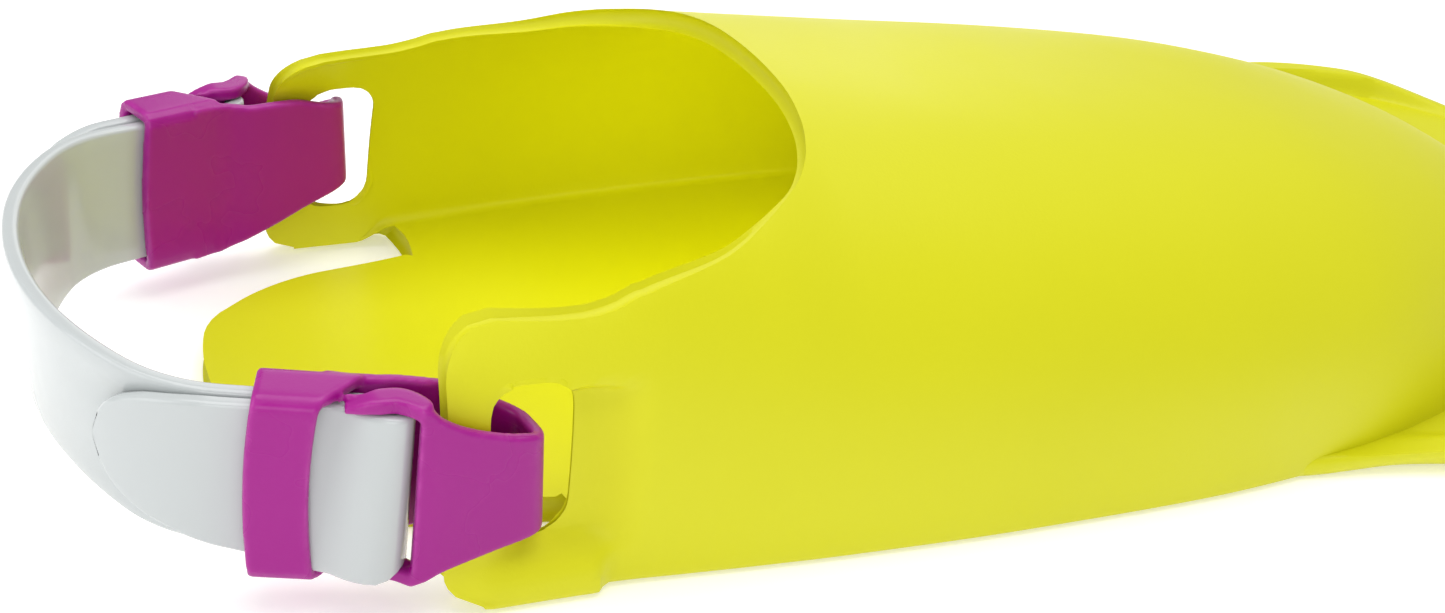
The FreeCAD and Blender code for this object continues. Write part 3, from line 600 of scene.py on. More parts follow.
def blade_shell(sizes):
    """The blade with its side rails and ribs as one closed slab.

    Columns run out from the centre plane to the side. The last column lies on the tip's
    ellipse, so no corner is pinched. The top is the slab's thickness plus a rail along the
    edge and straight ribs that taper towards the tip. The side face leans in towards the sole.
    """
    tip_x = BLADE_WIDE + BLADE_LENGTH
    centre_x = chain(BLADE_START, (30, BLADE_FREE), (96, tip_x))
    share = np.linspace(0, 1, 91)
    fade = ramp(centre_x, BLADE_FREE, tip_x)[:, None]
    x = centre_x[:, None] - BLADE_LENGTH * (1 - np.cos(TIP_TURN * share)) * fade
    edge_x = x[:, -1]
    beyond = np.clip((edge_x - BLADE_WIDE) / BLADE_LENGTH, 0, 1)
    half = np.where(edge_x > BLADE_WIDE, BLADE_HALF * np.sqrt(1 - beyond ** 2),
                    flow(edge_x, *np.array(BLADE_SIDE).T))[:, None]
    tip_share = np.sin(TIP_TURN * share) / math.sin(TIP_TURN)
    y = half * (share * (1 - fade) + tip_share * fade)
    tip_edge = BLADE_WIDE + BLADE_LENGTH * np.sqrt(np.maximum(1 - (y / BLADE_HALF) ** 2, 0)) - x
    from_edge = np.where(x > BLADE_WIDE, np.minimum(half - y, tip_edge), half - y)
    rail = RAIL_HEIGHT * plateau(x, *RAIL_ALONG) * (1 - ramp(from_edge, *RAIL_INNER_EDGE))
    ribs = sum(RIB_HEIGHT * (1 - ramp(np.abs(y - place), *RIB_FLANK)) for place in RIB_PLACES)
    ribs *= ramp(x, RIB_START - 7, RIB_START) * np.clip(1 - (x - RIB_START) / RIB_LENGTH, 0, 1)
    slab = sizes.blade / MM + UNDER_LIFT - TIP_THINNING * ramp(x, *THINNING_RUN)
    under = UNDER_LIFT * ramp(pocket_section(x)[0] - y, *UNDER_EDGE) * (x < TOE)
    lean_in = SIDE_LEAN * plateau(x, *LEAN_ALONG)
    outer = np.stack([x, y, slab + rail + ribs], -1)
    inner = np.stack([x, y * (1 - lean_in / half), under], -1)
    outer, inner, index = both_sides(outer, inner)
    cells = np.ones((index.shape[0] - 1, index.shape[1] - 1), bool)
    return thicken(outer, inner, cells, index, BLADE_EDGE)


# ---- heel strap
BUCKLE_TURN = math.radians(20)
ALONG = np.array([math.cos(BUCKLE_TURN), math.sin(BUCKLE_TURN)])
OUTWARD = np.array([-math.sin(BUCKLE_TURN), math.cos(BUCKLE_TURN)])
STRAP_BOTTOM = 6.6
STRAP_LINE = 39.4
HEEL_REACH, HEEL_RADIUS, BEND_RADIUS = 40.0, 50.0, 18.0
WRAP_RADIUS, WRAP_X = 2.3, 6.8
LAYER_PITCH, STEP_RUN, TAIL_ANGLE = 2.5, 7.0, 42.0
STRAP_STEP, STRAP_EDGE = 0.9, 0.62
# Stretches measured from the heel's middle or from the tail's tip.
HEEL_STRETCH, SUNK_STRETCH, LOOP_STRETCH = (12.0, 46.0), (16.0, 34.0, 66.0, 72.0), (20.0, 27.0, 33.0, 36.0)
HEEL_LIFT, SUNK_DEPTH, LOOP_LEAN, LOOP_DROP = 1.0, 0.4, 2.4, 0.6
# The round tail: heights of its edges over the strap's lower edge, by distance from the tip.
TAIL_TOP = (0, 1.0, 3.2, 7.5, 14, 400), (13.6, 16.6, 18.6, 20.2)
TAIL_LOW = (0, 1.2, 4.2, 9, 16, 24, 400), (11.6, 8.4, 5.6, 3.4, 1.2, 0, 0)
# Points up a band's face, as shares of its height, and which of them sink between its borders.
FACE_SHARES = np.array([0.13, 0.155, 0.3, 0.5, 0.7, 0.845, 0.87])
FACE_SINKS = np.array([0.0, 1.0, 1.0, 1.0, 1.0, 1.0, 0.0])
EDGE_POINTS = 5


def buckle_plan(along, outward):
    """Plan points from distances along and across the left buckle."""
    return np.multiply.outer(along, ALONG) + np.multiply.outer(outward, OUTWARD)


def arc(centre, radius, start, end, count):
    """Plan points on an arc between two angles in degrees."""
    turn = np.radians(np.linspace(start, end, count))
    return centre + radius * np.stack([np.cos(turn), np.sin(turn)], -1)


def strap_path():
    """The left half of the strap's centre line, from the heel's middle to the tail's tip.

    Arcs and straight runs that touch each other: round the heel, round the bend, through the
    buckle, half a turn round its bar, a shallow S out to the tail's layer and back over the bend.
    """
    heel_centre = np.array([HEEL_RADIUS - HEEL_REACH, 0.0])
    foot = OUTWARD * (STRAP_LINE - BEND_RADIUS)
    offset = foot - heel_centre
    slope = offset @ ALONG
    reach = HEEL_RADIUS - BEND_RADIUS
    bend_centre = foot - ALONG * (slope + math.sqrt(slope ** 2 - offset @ offset + reach ** 2))
    to_bend = bend_centre - heel_centre
    meet = math.degrees(math.atan2(to_bend[1], to_bend[0]))
    line = math.degrees(math.atan2(OUTWARD[1], OUTWARD[0]))
    wrap_start = OUTWARD * STRAP_LINE
    wrap_start = wrap_start + ALONG * ((-WRAP_X - wrap_start[0]) / ALONG[0])
    wrap_centre = wrap_start + OUTWARD * WRAP_RADIUS
    wrap_end = wrap_centre + OUTWARD * WRAP_RADIUS
    step = 2 * WRAP_RADIUS - LAYER_PITCH
    turn = 2 * math.atan2(step, STEP_RUN)
    ease = STEP_RUN / (2 * math.sin(turn))
    turn = math.degrees(turn)
    second_centre = wrap_end - ALONG * STEP_RUN - OUTWARD * (step - ease)
    pieces = [
        arc(heel_centre, HEEL_RADIUS, 180, meet, 50),
        arc(bend_centre, BEND_RADIUS, meet, line, 24),
        arc(wrap_centre, WRAP_RADIUS, line - 180, line, 18),
        arc(wrap_end - OUTWARD * ease, ease, line, line + turn, 6),
        arc(second_centre, ease, line + turn - 180, line - 180, 6),
        arc(bend_centre, BEND_RADIUS + LAYER_PITCH, line, line + TAIL_ANGLE, 40),
    ]
    return np.concatenate(pieces)


def even_path(points, step):
    """The path's points spread evenly, with their distances from its start."""
    length = np.concatenate([[0], np.cumsum(np.linalg.norm(np.diff(points, axis=0), axis=1))])
    keep = np.concatenate([[True], np.diff(length) > 1e-6])
    points, length = points[keep], length[keep]
    even = np.linspace(0, length[-1], int(length[-1] / step) + 1)
    return np.stack([np.interp(even, length, column) for column in points.T], -1), even


def path_sides(path):
    """Unit vectors to the left of a plan path, at its points."""
    way = np.gradient(path, axis=0)
    way /= np.linalg.norm(way, axis=1, keepdims=True)
    return np.stack([-way[:, 1], way[:, 0]], -1)


def band_rings(path, side, half_thick, low, high, round_edge, sink=0.0, lean=0.0):
    """Sections of a band that stands on edge along a plan path.

    Each section is a rounded rectangle from the low to the high edge. sink lowers the middle of
    the face on the side's side, between two raised borders, and lean moves the upper edge out.
    """
    half_thick, sink, lean = (np.broadcast_to(value, len(path))[:, None]
                              for value in (half_thick, sink, lean))
    height = (high - low)[:, None]
    corner = np.linspace(0, np.pi / 2, EDGE_POINTS)
    out = half_thick - round_edge * (1 - np.sin(corner))
    up = np.broadcast_to(round_edge * (1 - np.cos(corner)), out.shape)
    lift = np.concatenate([up, height * FACE_SHARES, height - up[:, ::-1]], 1)
    plain = np.concatenate([out, np.repeat(half_thick, len(FACE_SHARES), 1), out[:, ::-1]], 1)
    sunk = plain.copy()
    sunk[:, EDGE_POINTS:-EDGE_POINTS] -= sink * FACE_SINKS
    lift = np.concatenate([lift, lift[:, ::-1]], 1)
    shift = np.concatenate([sunk, -plain[:, ::-1]], 1)
    shift += lean * (lift / np.maximum(height, LEAST) - 0.5)
    plan = path[:, None, :] + side[:, None, :] * shift[..., None]
    return np.concatenate([plan, (low[:, None] + lift)[..., None]], -1)


def strap_shell(sizes):
    """The whole strap from tail tip to tail tip: one band along the mirrored path."""
    half_path = strap_path()
    path, travel = even_path(np.concatenate([half_path[::-1], half_path[1:] * (1, -1)]), STRAP_STEP)
    from_tip = np.minimum(travel, travel[-1] - travel)
    from_heel = np.abs(travel - travel[-1] / 2)
    width = sizes.width / MM
    heel = 1 - ramp(from_heel, *HEEL_STRETCH)
    loop = plateau(from_tip, *LOOP_STRETCH)
    base = STRAP_BOTTOM + HEEL_LIFT * heel
    high = base + flow(from_tip, TAIL_TOP[0], (*TAIL_TOP[1], width, width))
    low = base + flow(from_tip, *TAIL_LOW) - LOOP_DROP * loop
    lean = sizes.lean / MM * heel + LOOP_LEAN * loop
    rings = band_rings(path, -path_sides(path), sizes.thickness / MM / 2, low, high, STRAP_EDGE,
                       SUNK_DEPTH * plateau(from_heel, *SUNK_STRETCH), lean)
    return skin(rings)


# ---- buckles
BUCKLE_BOTTOM, BUCKLE_TOP = 4.6, 29.6
SLEEVE_INNER, SLEEVE_OUTER, SLEEVE_REAR = 36.6, 44.8, -7.6
SLEEVE_FRONT_INNER, SLEEVE_FRONT_OUTER = 5.4, -0.4
SLEEVE_CORNER, PLATE_EDGE, REAR_BOW, REAR_SHIFT = 1.0, 0.45, 0.8, 0.4
# The hook's plan from the sleeve round the U to the rear of the outer plate.
HOOK_PLAN = [(-7.0, 36.7), (-4.6, 36.6), (-1.0, 36.8), (3.0, 37.4), (6.4, 38.0), (8.3, 38.7),
             (9.4, 39.9), (9.7, 41.6), (9.8, 43.3), (9.5, 44.5), (8.6, 45.15), (7.0, 45.3),
             (4.0, 45.3), (0.5, 45.25), (-2.2, 45.15), (-4.6, 44.8)]
# Its upper and lower edges on the inside and on the outside: places along X and heights.
HOOK_TOP_INSIDE = (-16, -9, -4, 1.5, 6, 9.6), (29.3, 29, 28.3, 27.6, 25.9, 24.6)
HOOK_TOP_OUTSIDE = (-5, -3.8, -2, 0.6, 3.6, 6.9, 9.6), (29.5, 29.2, 27.6, 26.1, 25, 24.2, 23.9)
HOOK_LOW_INSIDE = (-16, -8.7, -4.6, 9.6), (4.8, 5.2, 6.8, 11.2)
HOOK_LOW_OUTSIDE = (-5, -3, -1.4, 4.6, 9.6), (4.6, 5.2, 6.2, 8.2, 9.8)
HOOK_EDGE, HOOK_SHEAR, SHEAR_X, SHEAR_TOP, SHEAR_HEIGHT = 0.5, 1.1, (4.0, 10.0), 24.0, 14.0
RISE_START, RISE_RUN = -5.0, 14.0
HOOK_START, HOOK_INSET, OUTSIDE_FADE = (0.0, 3.2), 0.8, (-0.06, 0.1)
HOOK_RISES = {"left": 2.4, "right": -1.4}
ARM_PLAN = [(-12.2, 41.2), (-10.3, 41.6), (-8.4, 41.6), (-6.7, 41.7), (-5.4, 42.6), (-4.5, 43.8),
            (-3.9, 45.0)]
ARM_HALF_WIDE = (-12.2, -10.3, -8, -6, -4.5, -3.8), (0.8, 1.1, 1.6, 1.6, 1.35, 0.9)
ARM_DEPTH, ARM_SINK, ARM_SINK_X = 1.9, 1.3, (-13.5, -8.5)
BAR_ALONG, BAR_OUT, BAR_HALF_LONG, BAR_HALF_WIDE, BAR_MARGIN = 4.9, 41.5, 2.7, 1.0, 0.5
BAR_RINGS, BAR_POINTS, DROP_MIDDLE, DROP_SWING = 20, 24, 0.55, 0.45
MELT_VOXEL = 0.3


def sleeve_shell(sizes):
    """The strap's sleeve: a plate section carried round a rounded rectangle.

    The rectangle lies across the buckle. The section runs from the sleeve's rear edge to its
    front edge, which slants from the inner side to the outer, and both edges bow backwards.
    """
    plate = sizes.plate / MM
    inset = plate / 2 + SLEEVE_CORNER
    far, near = SLEEVE_OUTER - inset, SLEEVE_INNER + inset
    low, high = BUCKLE_BOTTOM + inset, BUCKLE_TOP - inset
    corners = [arc(np.array(centre), SLEEVE_CORNER, start, start + 90, 6)
               for centre, start in (((far, low), -90), ((far, high), 0), ((near, high), 90),
                                     ((near, low), 180))]
    loop = np.concatenate(corners + [corners[0][:1]])
    loop = even_path(loop, 0.8)[0][:-1]
    ahead = np.roll(loop, -1, 0) - np.roll(loop, 1, 0)
    ahead /= np.linalg.norm(ahead, axis=1, keepdims=True)
    normal = np.stack([ahead[:, 1], -ahead[:, 0]], -1)
    corner = np.radians(np.linspace(0, 90, 4))
    section = []
    for end, face in ((1, 1), (-1, 1), (-1, -1), (1, -1)):
        turn = corner if end == face else corner[::-1]
        section.append(np.stack([np.full(4, end), PLATE_EDGE * (1 - np.cos(turn)),
                                 face * (plate / 2 - PLATE_EDGE * (1 - np.sin(turn)))], -1))
    section = np.concatenate(section)
    half_height = (BUCKLE_TOP - BUCKLE_BOTTOM) / 2
    bow = sizes.bow / MM * (1 - ((loop[:, 1] - BUCKLE_BOTTOM) / half_height - 1) ** 2)
    slant = (SLEEVE_OUTER - loop[:, 0]) / (SLEEVE_OUTER - SLEEVE_INNER)
    front = SLEEVE_FRONT_OUTER + (SLEEVE_FRONT_INNER - SLEEVE_FRONT_OUTER) * slant - bow * (1 - slant)
    rear = SLEEVE_REAR - bow * REAR_BOW + REAR_SHIFT
    along = np.where(section[:, 0] > 0, front[:, None] - section[:, 1], rear[:, None] + section[:, 1])
    across = loop[:, None, :] + normal[:, None, :] * section[None, :, 2:3]
    plan = along[..., None] * ALONG + across[..., :1] * OUTWARD
    return skin(np.concatenate([plan, across[..., 1:]], -1), closed=True)


def hook_shell(sizes, rise):
    """The inner plate, the U of the hook and the outer plate as one band along a plan path.

    The rise lifts the front of the inner plate, as the buckle hangs a little differently on
    each side.
    """
    start = buckle_plan(HOOK_START, [SLEEVE_INNER + HOOK_INSET] * 2)
    path = along_curve(np.concatenate([start, HOOK_PLAN]), 90)
    place = path[:, 0]
    reach = np.linspace(0, 1, len(path))
    front = reach[np.argmax(place)]
    outside = ramp(reach - front, *OUTSIDE_FADE)
    high = flow(place, *HOOK_TOP_INSIDE) * (1 - outside) + flow(place, *HOOK_TOP_OUTSIDE) * outside
    low = np.interp(place, *HOOK_LOW_INSIDE) * (1 - outside) + flow(place, *HOOK_LOW_OUTSIDE) * outside
    lift = rise * np.clip((place - RISE_START) / RISE_RUN, 0, 1) * (1 - outside)
    rings = band_rings(path, path_sides(path), sizes.plate / MM / 2, low + lift, high + lift, HOOK_EDGE)
    drop = (SHEAR_TOP - rings[..., 2]) / SHEAR_HEIGHT
    rings[..., 0] += HOOK_SHEAR * ramp(rings[..., 0], *SHEAR_X) * drop
    return skin(rings)


def arm_shell(edge, inward):
    """One arm from an end of the strap's bar to the outer plate.

    Its outside face lies at the edge height by the plate and sinks inward towards the bar;
    inward is 1 for up and -1 for down.
    """
    path = along_curve(ARM_PLAN, 30)
    place = path[:, 0]
    face = edge + inward * ARM_SINK * (1 - ramp(place, *ARM_SINK_X))
    other = np.full(len(path), edge + inward * ARM_DEPTH)
    rings = band_rings(path, path_sides(path), flow(place, *ARM_HALF_WIDE), np.minimum(face, other),
                       np.maximum(face, other), PLATE_EDGE)
    return skin(rings)


def bar_shell():
    """The bar that the strap turns round: a drop-shaped section carried upright."""
    turn = np.linspace(0, 2 * np.pi, BAR_POINTS, endpoint=False)
    along = BAR_ALONG + BAR_HALF_LONG * np.cos(turn)
    outward = BAR_OUT + BAR_HALF_WIDE * np.sin(turn) * (DROP_MIDDLE + DROP_SWING * np.cos(turn))
    heights = np.linspace(BUCKLE_BOTTOM + BAR_MARGIN, BUCKLE_TOP - BAR_MARGIN, BAR_RINGS)
    plan = np.broadcast_to(buckle_plan(along, outward), (BAR_RINGS, BAR_POINTS, 2))
    heights = np.broadcast_to(heights[:, None, None], (BAR_RINGS, BAR_POINTS, 1))
    rings = np.concatenate([plan, heights], -1)
    return skin(rings)


def buckle_shell(sizes, rise):
    """All the shapes of one left buckle."""
    return joined([sleeve_shell(sizes), hook_shell(sizes, rise), bar_shell(),
                   arm_shell(BUCKLE_TOP, -1), arm_shell(BUCKLE_BOTTOM, 1)])


def moulded(piece, name, voxel):
    """Melts overlapping shells into one moulding with small fillets."""
    melt = piece.modifiers.new("melt", "REMESH")
    melt.mode = "VOXEL"
    melt.voxel_size = voxel
    melt.use_smooth_shade = True
    soften = piece.modifiers.new("soften", "SMOOTH")
    soften.factor = 0.5
    soften.iterations = 4
    return finished(piece, name)


# ---- node groups
FLOAT, COLOUR = "NodeSocketFloat", "NodeSocketColor"


def shader_group(name, inputs, outputs):
    """A new shader group with float or colour sockets, and its input and output nodes."""
    group = bpy.data.node_groups.new(name, "ShaderNodeTree")
    for socket, kind, default in inputs:
        made = group.interface.new_socket(name=socket, in_out="INPUT", socket_type=kind)
        if default is not None:
            made.default_value = default
    for socket, kind in outputs:
        group.interface.new_socket(name=socket, in_out="OUTPUT", socket_type=kind)
    return group, group.nodes.new("NodeGroupInput"), group.nodes.new("NodeGroupOutput")


def add_noise(tree, scale, detail, coordinates):
    """A noise texture node on some coordinates."""
    noise = tree.nodes.new("ShaderNodeTexNoise")
    noise.inputs["Scale"].default_value = scale
    noise.inputs["Detail"].default_value = detail
    tree.links.new(coordinates, noise.inputs["Vector"])
    return noise


def add_range(tree, value, low, high, to_low, to_high):
    """The result of a map range node that is held within its limits."""
    mapped = tree.nodes.new("ShaderNodeMapRange")
    mapped.clamp = True
    for socket, number in zip(("From Min", "From Max", "To Min", "To Max"), (low, high, to_low, to_high)):
        mapped.inputs[socket].default_value = number
    tree.links.new(value, mapped.inputs["Value"])
    return mapped.outputs["Result"]


def add_math(tree, operation, *sockets, clamp=False):
    """The result of a math node on some sockets."""
    node = tree.nodes.new("ShaderNodeMath")
    node.operation = operation
    node.use_clamp = clamp
    for socket, entry in zip(sockets, node.inputs):
        tree.links.new(socket, entry)
    return node.outputs[0]


def add_mix(tree, share, first, second):
    """The result of a node that mixes the colours of two sockets."""
    mix = tree.nodes.new("ShaderNodeMix")
    mix.data_type = "RGBA"
    for value, entry in ((share, mix.inputs[0]), (first, mix.inputs[6]), (second, mix.inputs[7])):
        tree.links.new(value, entry)
    return mix.outputs[2]


def moulding_grain():
    """Group: fine grain, soft flow ripples and roughness that varies with both."""
    tree, source, sink = shader_group(
        "moulding_grain",
        [("Grain Scale", FLOAT, 2500.0), ("Grain Height", FLOAT, 0.2),
         ("Ripple Scale", FLOAT, 60.0), ("Ripple Height", FLOAT, 0.1),
         ("Roughness", FLOAT, 0.4), ("Roughness Spread", FLOAT, 0.1)],
        [("Roughness", FLOAT), ("Normal", "NodeSocketVector")])
    place = tree.nodes.new("ShaderNodeTexCoord").outputs["Object"]
    grain = add_noise(tree, 1, 3, place)
    ripple = add_noise(tree, 1, 2, place)
    tree.links.new(source.outputs["Grain Scale"], grain.inputs["Scale"])
    tree.links.new(source.outputs["Ripple Scale"], ripple.inputs["Scale"])
    normal = None
    for height, noise, distance in (("Ripple Height", ripple, 0.002), ("Grain Height", grain, 0.0002)):
        bump = tree.nodes.new("ShaderNodeBump")
        bump.inputs["Distance"].default_value = distance
        tree.links.new(source.outputs[height], bump.inputs["Strength"])
        tree.links.new(noise.outputs["Fac"], bump.inputs["Height"])
        if normal is not None:
            tree.links.new(normal, bump.inputs["Normal"])
        normal = bump.outputs["Normal"]
    tree.links.new(normal, sink.inputs["Normal"])
    centred = add_range(tree, ripple.outputs["Fac"], 0.3, 0.7, -1, 1)
    rough = add_math(tree, "MULTIPLY_ADD", centred, source.outputs["Roughness Spread"],
                     source.outputs["Roughness"])
    tree.links.new(rough, sink.inputs["Roughness"])
    return tree


def drift_and_highlight_colour():
    """Group: colour that drifts slowly over the piece, and a painted highlight that makes edges which bend
    outwards paler in speckled patches.
    """
    tree, source, sink = shader_group(
        "drift_and_highlight_colour",
        [("Colour", COLOUR, None), ("Deep Colour", COLOUR, None),
         ("Highlight Colour", COLOUR, None), ("Drift", FLOAT, 0.5),
         ("Highlight Strength", FLOAT, 0.3)],
        [("Colour", COLOUR)])
    place = tree.nodes.new("ShaderNodeTexCoord").outputs["Object"]
    cloud = add_noise(tree, 16, 4, place)
    share = add_range(tree, cloud.outputs["Fac"], 0.35, 0.7, 0, 1)
    amount = add_math(tree, "MULTIPLY", share, source.outputs["Drift"])
    drifted = add_mix(tree, amount, source.outputs["Colour"], source.outputs["Deep Colour"])
    # Painted highlight: the edge attribute, broken into speckled patches, mixes in the paler highlight
    # colour.
    edge = tree.nodes.new("ShaderNodeAttribute")
    edge.attribute_name = "edge"
    speckle = add_noise(tree, 420, 5, place)
    patch = add_range(tree, speckle.outputs["Fac"], 0.4, 0.62, 0.35, 1)
    highlight_patches = add_math(tree, "MULTIPLY", edge.outputs["Fac"], patch)
    edge_highlight = add_math(tree, "MULTIPLY", highlight_patches, source.outputs["Highlight Strength"], clamp=True)
    mixed = add_mix(tree, edge_highlight, drifted, source.outputs["Highlight Colour"])
    tree.links.new(mixed, sink.inputs["Colour"])
    return tree


def node_group(name, build):
    """The named group, built on first use."""
    return bpy.data.node_groups.get(name) or build()


GRAIN_SOCKETS = ("Grain Scale", "Grain Height", "Ripple Scale", "Ripple Height", "Roughness",
                 "Roughness Spread")


def finish_material(name, colour, deep, edge_highlight, highlight_strength, grain_values, shader_values):
    """A moulded material from the two groups and a Principled shader with plain values.

    The colour drifts towards itself times deep, and the painted highlight on edges that bend outwards
    takes the colour times the first number of the highlight pair plus the second.
    """
    colour = np.array(colour)
    material = bpy.data.materials.new(name)
    material.use_nodes = True
    tree = material.node_tree
    tree.nodes.clear()
    output = tree.nodes.new("ShaderNodeOutputMaterial")
    shader = tree.nodes.new("ShaderNodeBsdfPrincipled")
    tint = tree.nodes.new("ShaderNodeGroup")
    tint.node_tree = node_group("drift_and_highlight_colour", drift_and_highlight_colour)
    grain = tree.nodes.new("ShaderNodeGroup")
    grain.node_tree = node_group("moulding_grain", moulding_grain)
    # Painted highlight: the highlight colour is the piece's colour scaled and lifted, mixed in on edges
    # that bend outwards.
    tint_values = {"Colour": (*colour, 1), "Deep Colour": (*(colour * deep), 1),
                   "Highlight Colour": (*np.minimum(colour * edge_highlight[0] + edge_highlight[1], 1), 1), "Highlight Strength": highlight_strength}
    grain_values = dict(zip(GRAIN_SOCKETS, grain_values))
    for node, values in ((tint, tint_values), (grain, grain_values), (shader, shader_values)):
        for socket, value in values.items():
            node.inputs[socket].default_value = value
    tree.links.new(tint.outputs["Colour"], shader.inputs["Base Color"])
    tree.links.new(grain.outputs["Roughness"], shader.inputs["Roughness"])
    tree.links.new(grain.outputs["Normal"], shader.inputs["Normal"])
    tree.links.new(shader.outputs[0], output.inputs["Surface"])
    return material


def fin_rubber(settings):
    """Satin rubber: fine grain, and a painted highlight that makes its rims slightly paler."""
    return finish_material(
        "fin_rubber", settings.colour, (0.95, 0.94, 0.7), (1.06, 0.02), 0.35,
        (1800, 0.12, 35, 0.05, 0.46, 0.05), {"Specular IOR Level": 0.35})


def strap_elastomer(settings):
    """Glossy white-grey elastomer with faint flow ripples, and a painted highlight on its edges."""
    return finish_material(
        "strap_elastomer", settings.colour, 0.93, (1.1, 0.0), 0.4,
        (1500, 0.03, 90, 0.04, 0.16, 0.05),
        {"Specular IOR Level": 0.5, "Coat Weight": 0.25, "Coat Roughness": 0.08})


def buckle_plastic(settings):
    """Semi-gloss moulded plastic, with a painted highlight that makes its edges paler."""
    return finish_material(
        "buckle_plastic", settings.colour, (0.86, 0.8, 0.86), (1.35, 0.06), 0.45,
        (2200, 0.08, 120, 0.03, 0.29, 0.05), {"Specular IOR Level": 0.32})


# ---- operators
# How far the edge measure for the painted highlight reaches, on the fin and on the small pieces.
FIN_HIGHLIGHT_REACH, SMALL_HIGHLIGHT_REACH = 1.2 * MM, 0.8 * MM
MIDDLE = (CAD_BOX[0] + CAD_BOX[1]) / 2
# Each soft light: its place, what it looks at, its side in metres and its power.
LIGHTS = {
    "key_light": (MIDDLE + Vector((0.0, 0.1, 0.9)), MIDDLE, 0.9, 6.4),
    "mouth_light": (Vector((-0.22, -0.6, 0.33)), Vector((0.04, 0.015, 0.025)), 0.4, 1.1),
    "heel_light": (MIDDLE + Vector((-0.7, 0.0, 0.3)), MIDDLE, 0.5, 1.3),
    "far_light": (MIDDLE + Vector((0.3, 0.75, 0.4)), MIDDLE, 0.6, 1.2),
}
# Small lights inside the foot pocket: place in metres and power.
GLOWS = (((0.068, 0.0, 0.034), 0.021), ((0.098, 0.0, 0.031), 0.016))
GLOW_RADIUS = 0.012
CAMERA_PLACE, CAMERA_ANGLES, SENSOR = (-0.06064, -0.20144, 0.14014), (30.29, 29.39, 9.34), 36.0
FLOOR_REACH, FLOOR_GAP = 3.0, 0.2 * MM


class SWIMFIN_OT_body(bpy.types.Operator):
    """Build the rubber fin body"""
    bl_idname = "swimfin.body"
    bl_label = "Fin Body"

    def execute(self, context):
        sizes = context.scene.fin_sizes
        shells = joined([pocket_shell(sizes), blade_shell(sizes)])
        piece = new_piece("rubber_fin", *shells)
        mark_edges(piece, FIN_HIGHLIGHT_REACH)
        piece.data.materials.append(fin_rubber(sizes))
        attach(piece, "fin")
        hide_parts("fin_body")
        return {"FINISHED"}


class SWIMFIN_OT_strap(bpy.types.Operator):
    """Build the heel strap with both tails"""
    bl_idname = "swimfin.strap"
    bl_label = "Heel Strap"

    def execute(self, context):
        sizes = context.scene.strap_sizes
        piece = new_piece("moulded_strap", *strap_shell(sizes))
        mark_edges(piece, SMALL_HIGHLIGHT_REACH)
        piece.data.materials.append(strap_elastomer(sizes))
        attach(piece, "strap_assembly")
        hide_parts("heel_strap")
        return {"FINISHED"}


class SWIMFIN_OT_buckles(bpy.types.Operator):
    """Build the left and the right hook buckle"""
    bl_idname = "swimfin.buckles"
    bl_label = "Buckles"

    def execute(self, context):
        sizes = context.scene.buckle_sizes
        material = buckle_plastic(sizes)
        for side, rise in HOOK_RISES.items():
            shell = buckle_shell(sizes, rise)
            shell = mirrored(shell) if side == "right" else shell
            piece = moulded(new_piece("rough_" + side, *shell), "hook_buckle_" + side, MELT_VOXEL * MM)
            mark_edges(piece, SMALL_HIGHLIGHT_REACH)
            piece.data.materials.append(material)
            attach(piece, "strap_assembly")
            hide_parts("buckle_" + side)
        return {"FINISHED"}


class SWIMFIN_OT_studio(bpy.types.Operator):
    """Set up the pale floor, the soft lights and the camera"""
    bl_idname = "swimfin.studio"
    bl_label = "Studio"

    def execute(self, context):
        scene = context.scene
        settings = scene.studio_settings
        place_camera(scene, settings)
        place_floor()
        for name, values in LIGHTS.items():
            place_soft_light(name, *values)
        for place, power in GLOWS:
            place_pocket_light(place, power)
        world = bpy.data.worlds.new("white_surroundings")
        world.use_nodes = True
        background = world.node_tree.nodes["Background"]
        background.inputs["Color"].default_value = (1, 1, 1, 1)
        background.inputs["Strength"].default_value = settings.light
        scene.world = world
        scene.view_settings.view_transform = "Standard"
        return {"FINISHED"}


def place_camera(scene, settings):
    """The camera, low behind the fin's right side and looking down along it."""
    yaw, pitch, roll = np.radians(CAMERA_ANGLES).tolist()
    ahead = Vector((math.sin(yaw) * math.cos(pitch), math.cos(yaw) * math.cos(pitch), -math.sin(pitch)))
    level = Vector((math.cos(yaw), -math.sin(yaw), 0))
    upright = level.cross(ahead)
    right = math.cos(roll) * level + math.sin(roll) * upright
    top = math.cos(roll) * upright - math.sin(roll) * level
    camera = bpy.data.objects.new("camera", bpy.data.cameras.new("camera"))
    camera.data.sensor_width = SENSOR
    camera.data.lens = settings.lens / MM
    camera.data.clip_start = 0.01
    turn = Matrix((right, top, -ahead)).transposed().to_4x4()
    camera.matrix_world = Matrix.Translation(CAMERA_PLACE) @ turn
    scene.collection.objects.link(camera)
    scene.camera = camera


def place_floor():
    """A pale floor just below the sole."""
    level = CAD_BOX[0].z - FLOOR_GAP
    corners = [(MIDDLE.x + x * FLOOR_REACH, MIDDLE.y + y * FLOOR_REACH, level)
               for x, y in ((-1, -1), (1, -1), (1, 1), (-1, 1))]
    mesh = bpy.data.meshes.new("floor")
    mesh.from_pydata(corners, [], [(0, 1, 2, 3)])
    floor = bpy.data.objects.new("floor", mesh)
    bpy.context.scene.collection.objects.link(floor)
    paint = bpy.data.materials.new("pale_floor")
    paint.use_nodes = True
    shader = paint.node_tree.nodes["Principled BSDF"]
    shader.inputs["Base Color"].default_value = (0.9, 0.9, 0.9, 1)
    shader.inputs["Roughness"].default_value = 0.8
    shader.inputs["Emission Color"].default_value = (1, 1, 1, 1)
    shader.inputs["Emission Strength"].default_value = 0.3
    mesh.materials.append(paint)


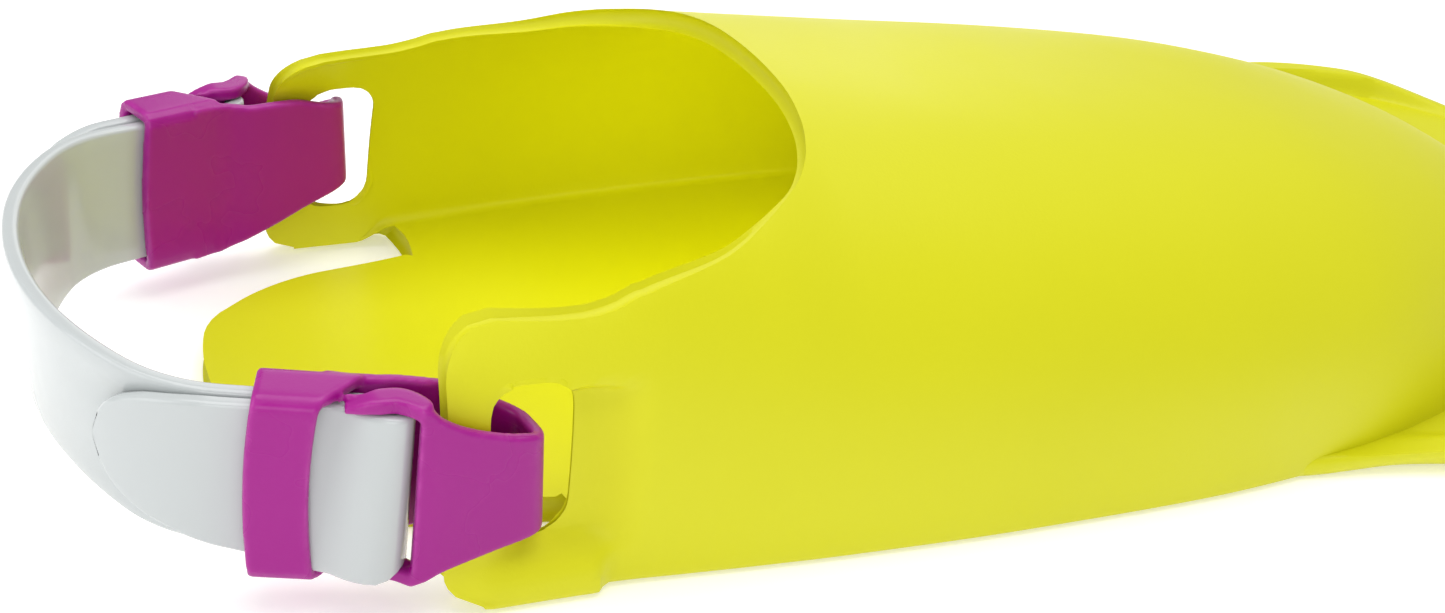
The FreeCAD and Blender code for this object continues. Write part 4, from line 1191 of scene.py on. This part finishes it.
def place_light(name, kind, place, power):
    """A light of a kind at a place, linked to the scene."""
    data = bpy.data.lights.new(name, kind)
    data.energy = power
    light = bpy.data.objects.new(name, data)
    light.location = place
    bpy.context.scene.collection.objects.link(light)
    return light


def place_soft_light(name, place, target, size, power):
    """A square area light that looks at a target."""
    light = place_light(name, "AREA", place, power)
    light.data.size = size
    light.rotation_euler = (target - place).to_track_quat("-Z", "Y").to_euler()


def place_pocket_light(place, power):
    """A small round light inside the foot pocket, for the glow of light through the rubber."""
    light = place_light("pocket_glow", "POINT", place, power)
    light.data.shadow_soft_size = GLOW_RADIUS
    light.visible_camera = False
    light.visible_glossy = False


class SWIMFIN_PT_panel(bpy.types.Panel):
    """The swim fin's pieces and settings"""
    bl_idname = "SWIMFIN_PT_panel"
    bl_label = "Swim Fin"
    bl_space_type = "VIEW_3D"
    bl_region_type = "UI"
    bl_category = "Swim Fin"

    def draw(self, context):
        for operator in OPERATORS:
            self.layout.operator(operator.bl_idname)
        for name, group in GROUPS.items():
            box = self.layout.box()
            for setting in group.__annotations__:
                box.prop(getattr(context.scene, name), setting)


OPERATORS = (SWIMFIN_OT_studio, SWIMFIN_OT_body, SWIMFIN_OT_strap, SWIMFIN_OT_buckles)
GROUPS = {"fin_sizes": FinSizes, "strap_sizes": StrapSizes, "buckle_sizes": BuckleSizes,
          "studio_settings": StudioSettings}
CLASSES = (*GROUPS.values(), *OPERATORS, SWIMFIN_PT_panel)


def register():
    """Registers the classes and hangs the settings on the scene."""
    for item in CLASSES:
        bpy.utils.register_class(item)
    for name, group in GROUPS.items():
        setattr(bpy.types.Scene, name, bpy.props.PointerProperty(type=group))


def unregister():
    """Removes what register added."""
    for name in GROUPS:
        delattr(bpy.types.Scene, name)
    for item in reversed(CLASSES):
        bpy.utils.unregister_class(item)


def main():
    """Builds every piece."""
    register()
    bpy.ops.swimfin.studio()
    bpy.ops.swimfin.body()
    bpy.ops.swimfin.strap()
    bpy.ops.swimfin.buckles()


if __name__ == "__main__":
    main()
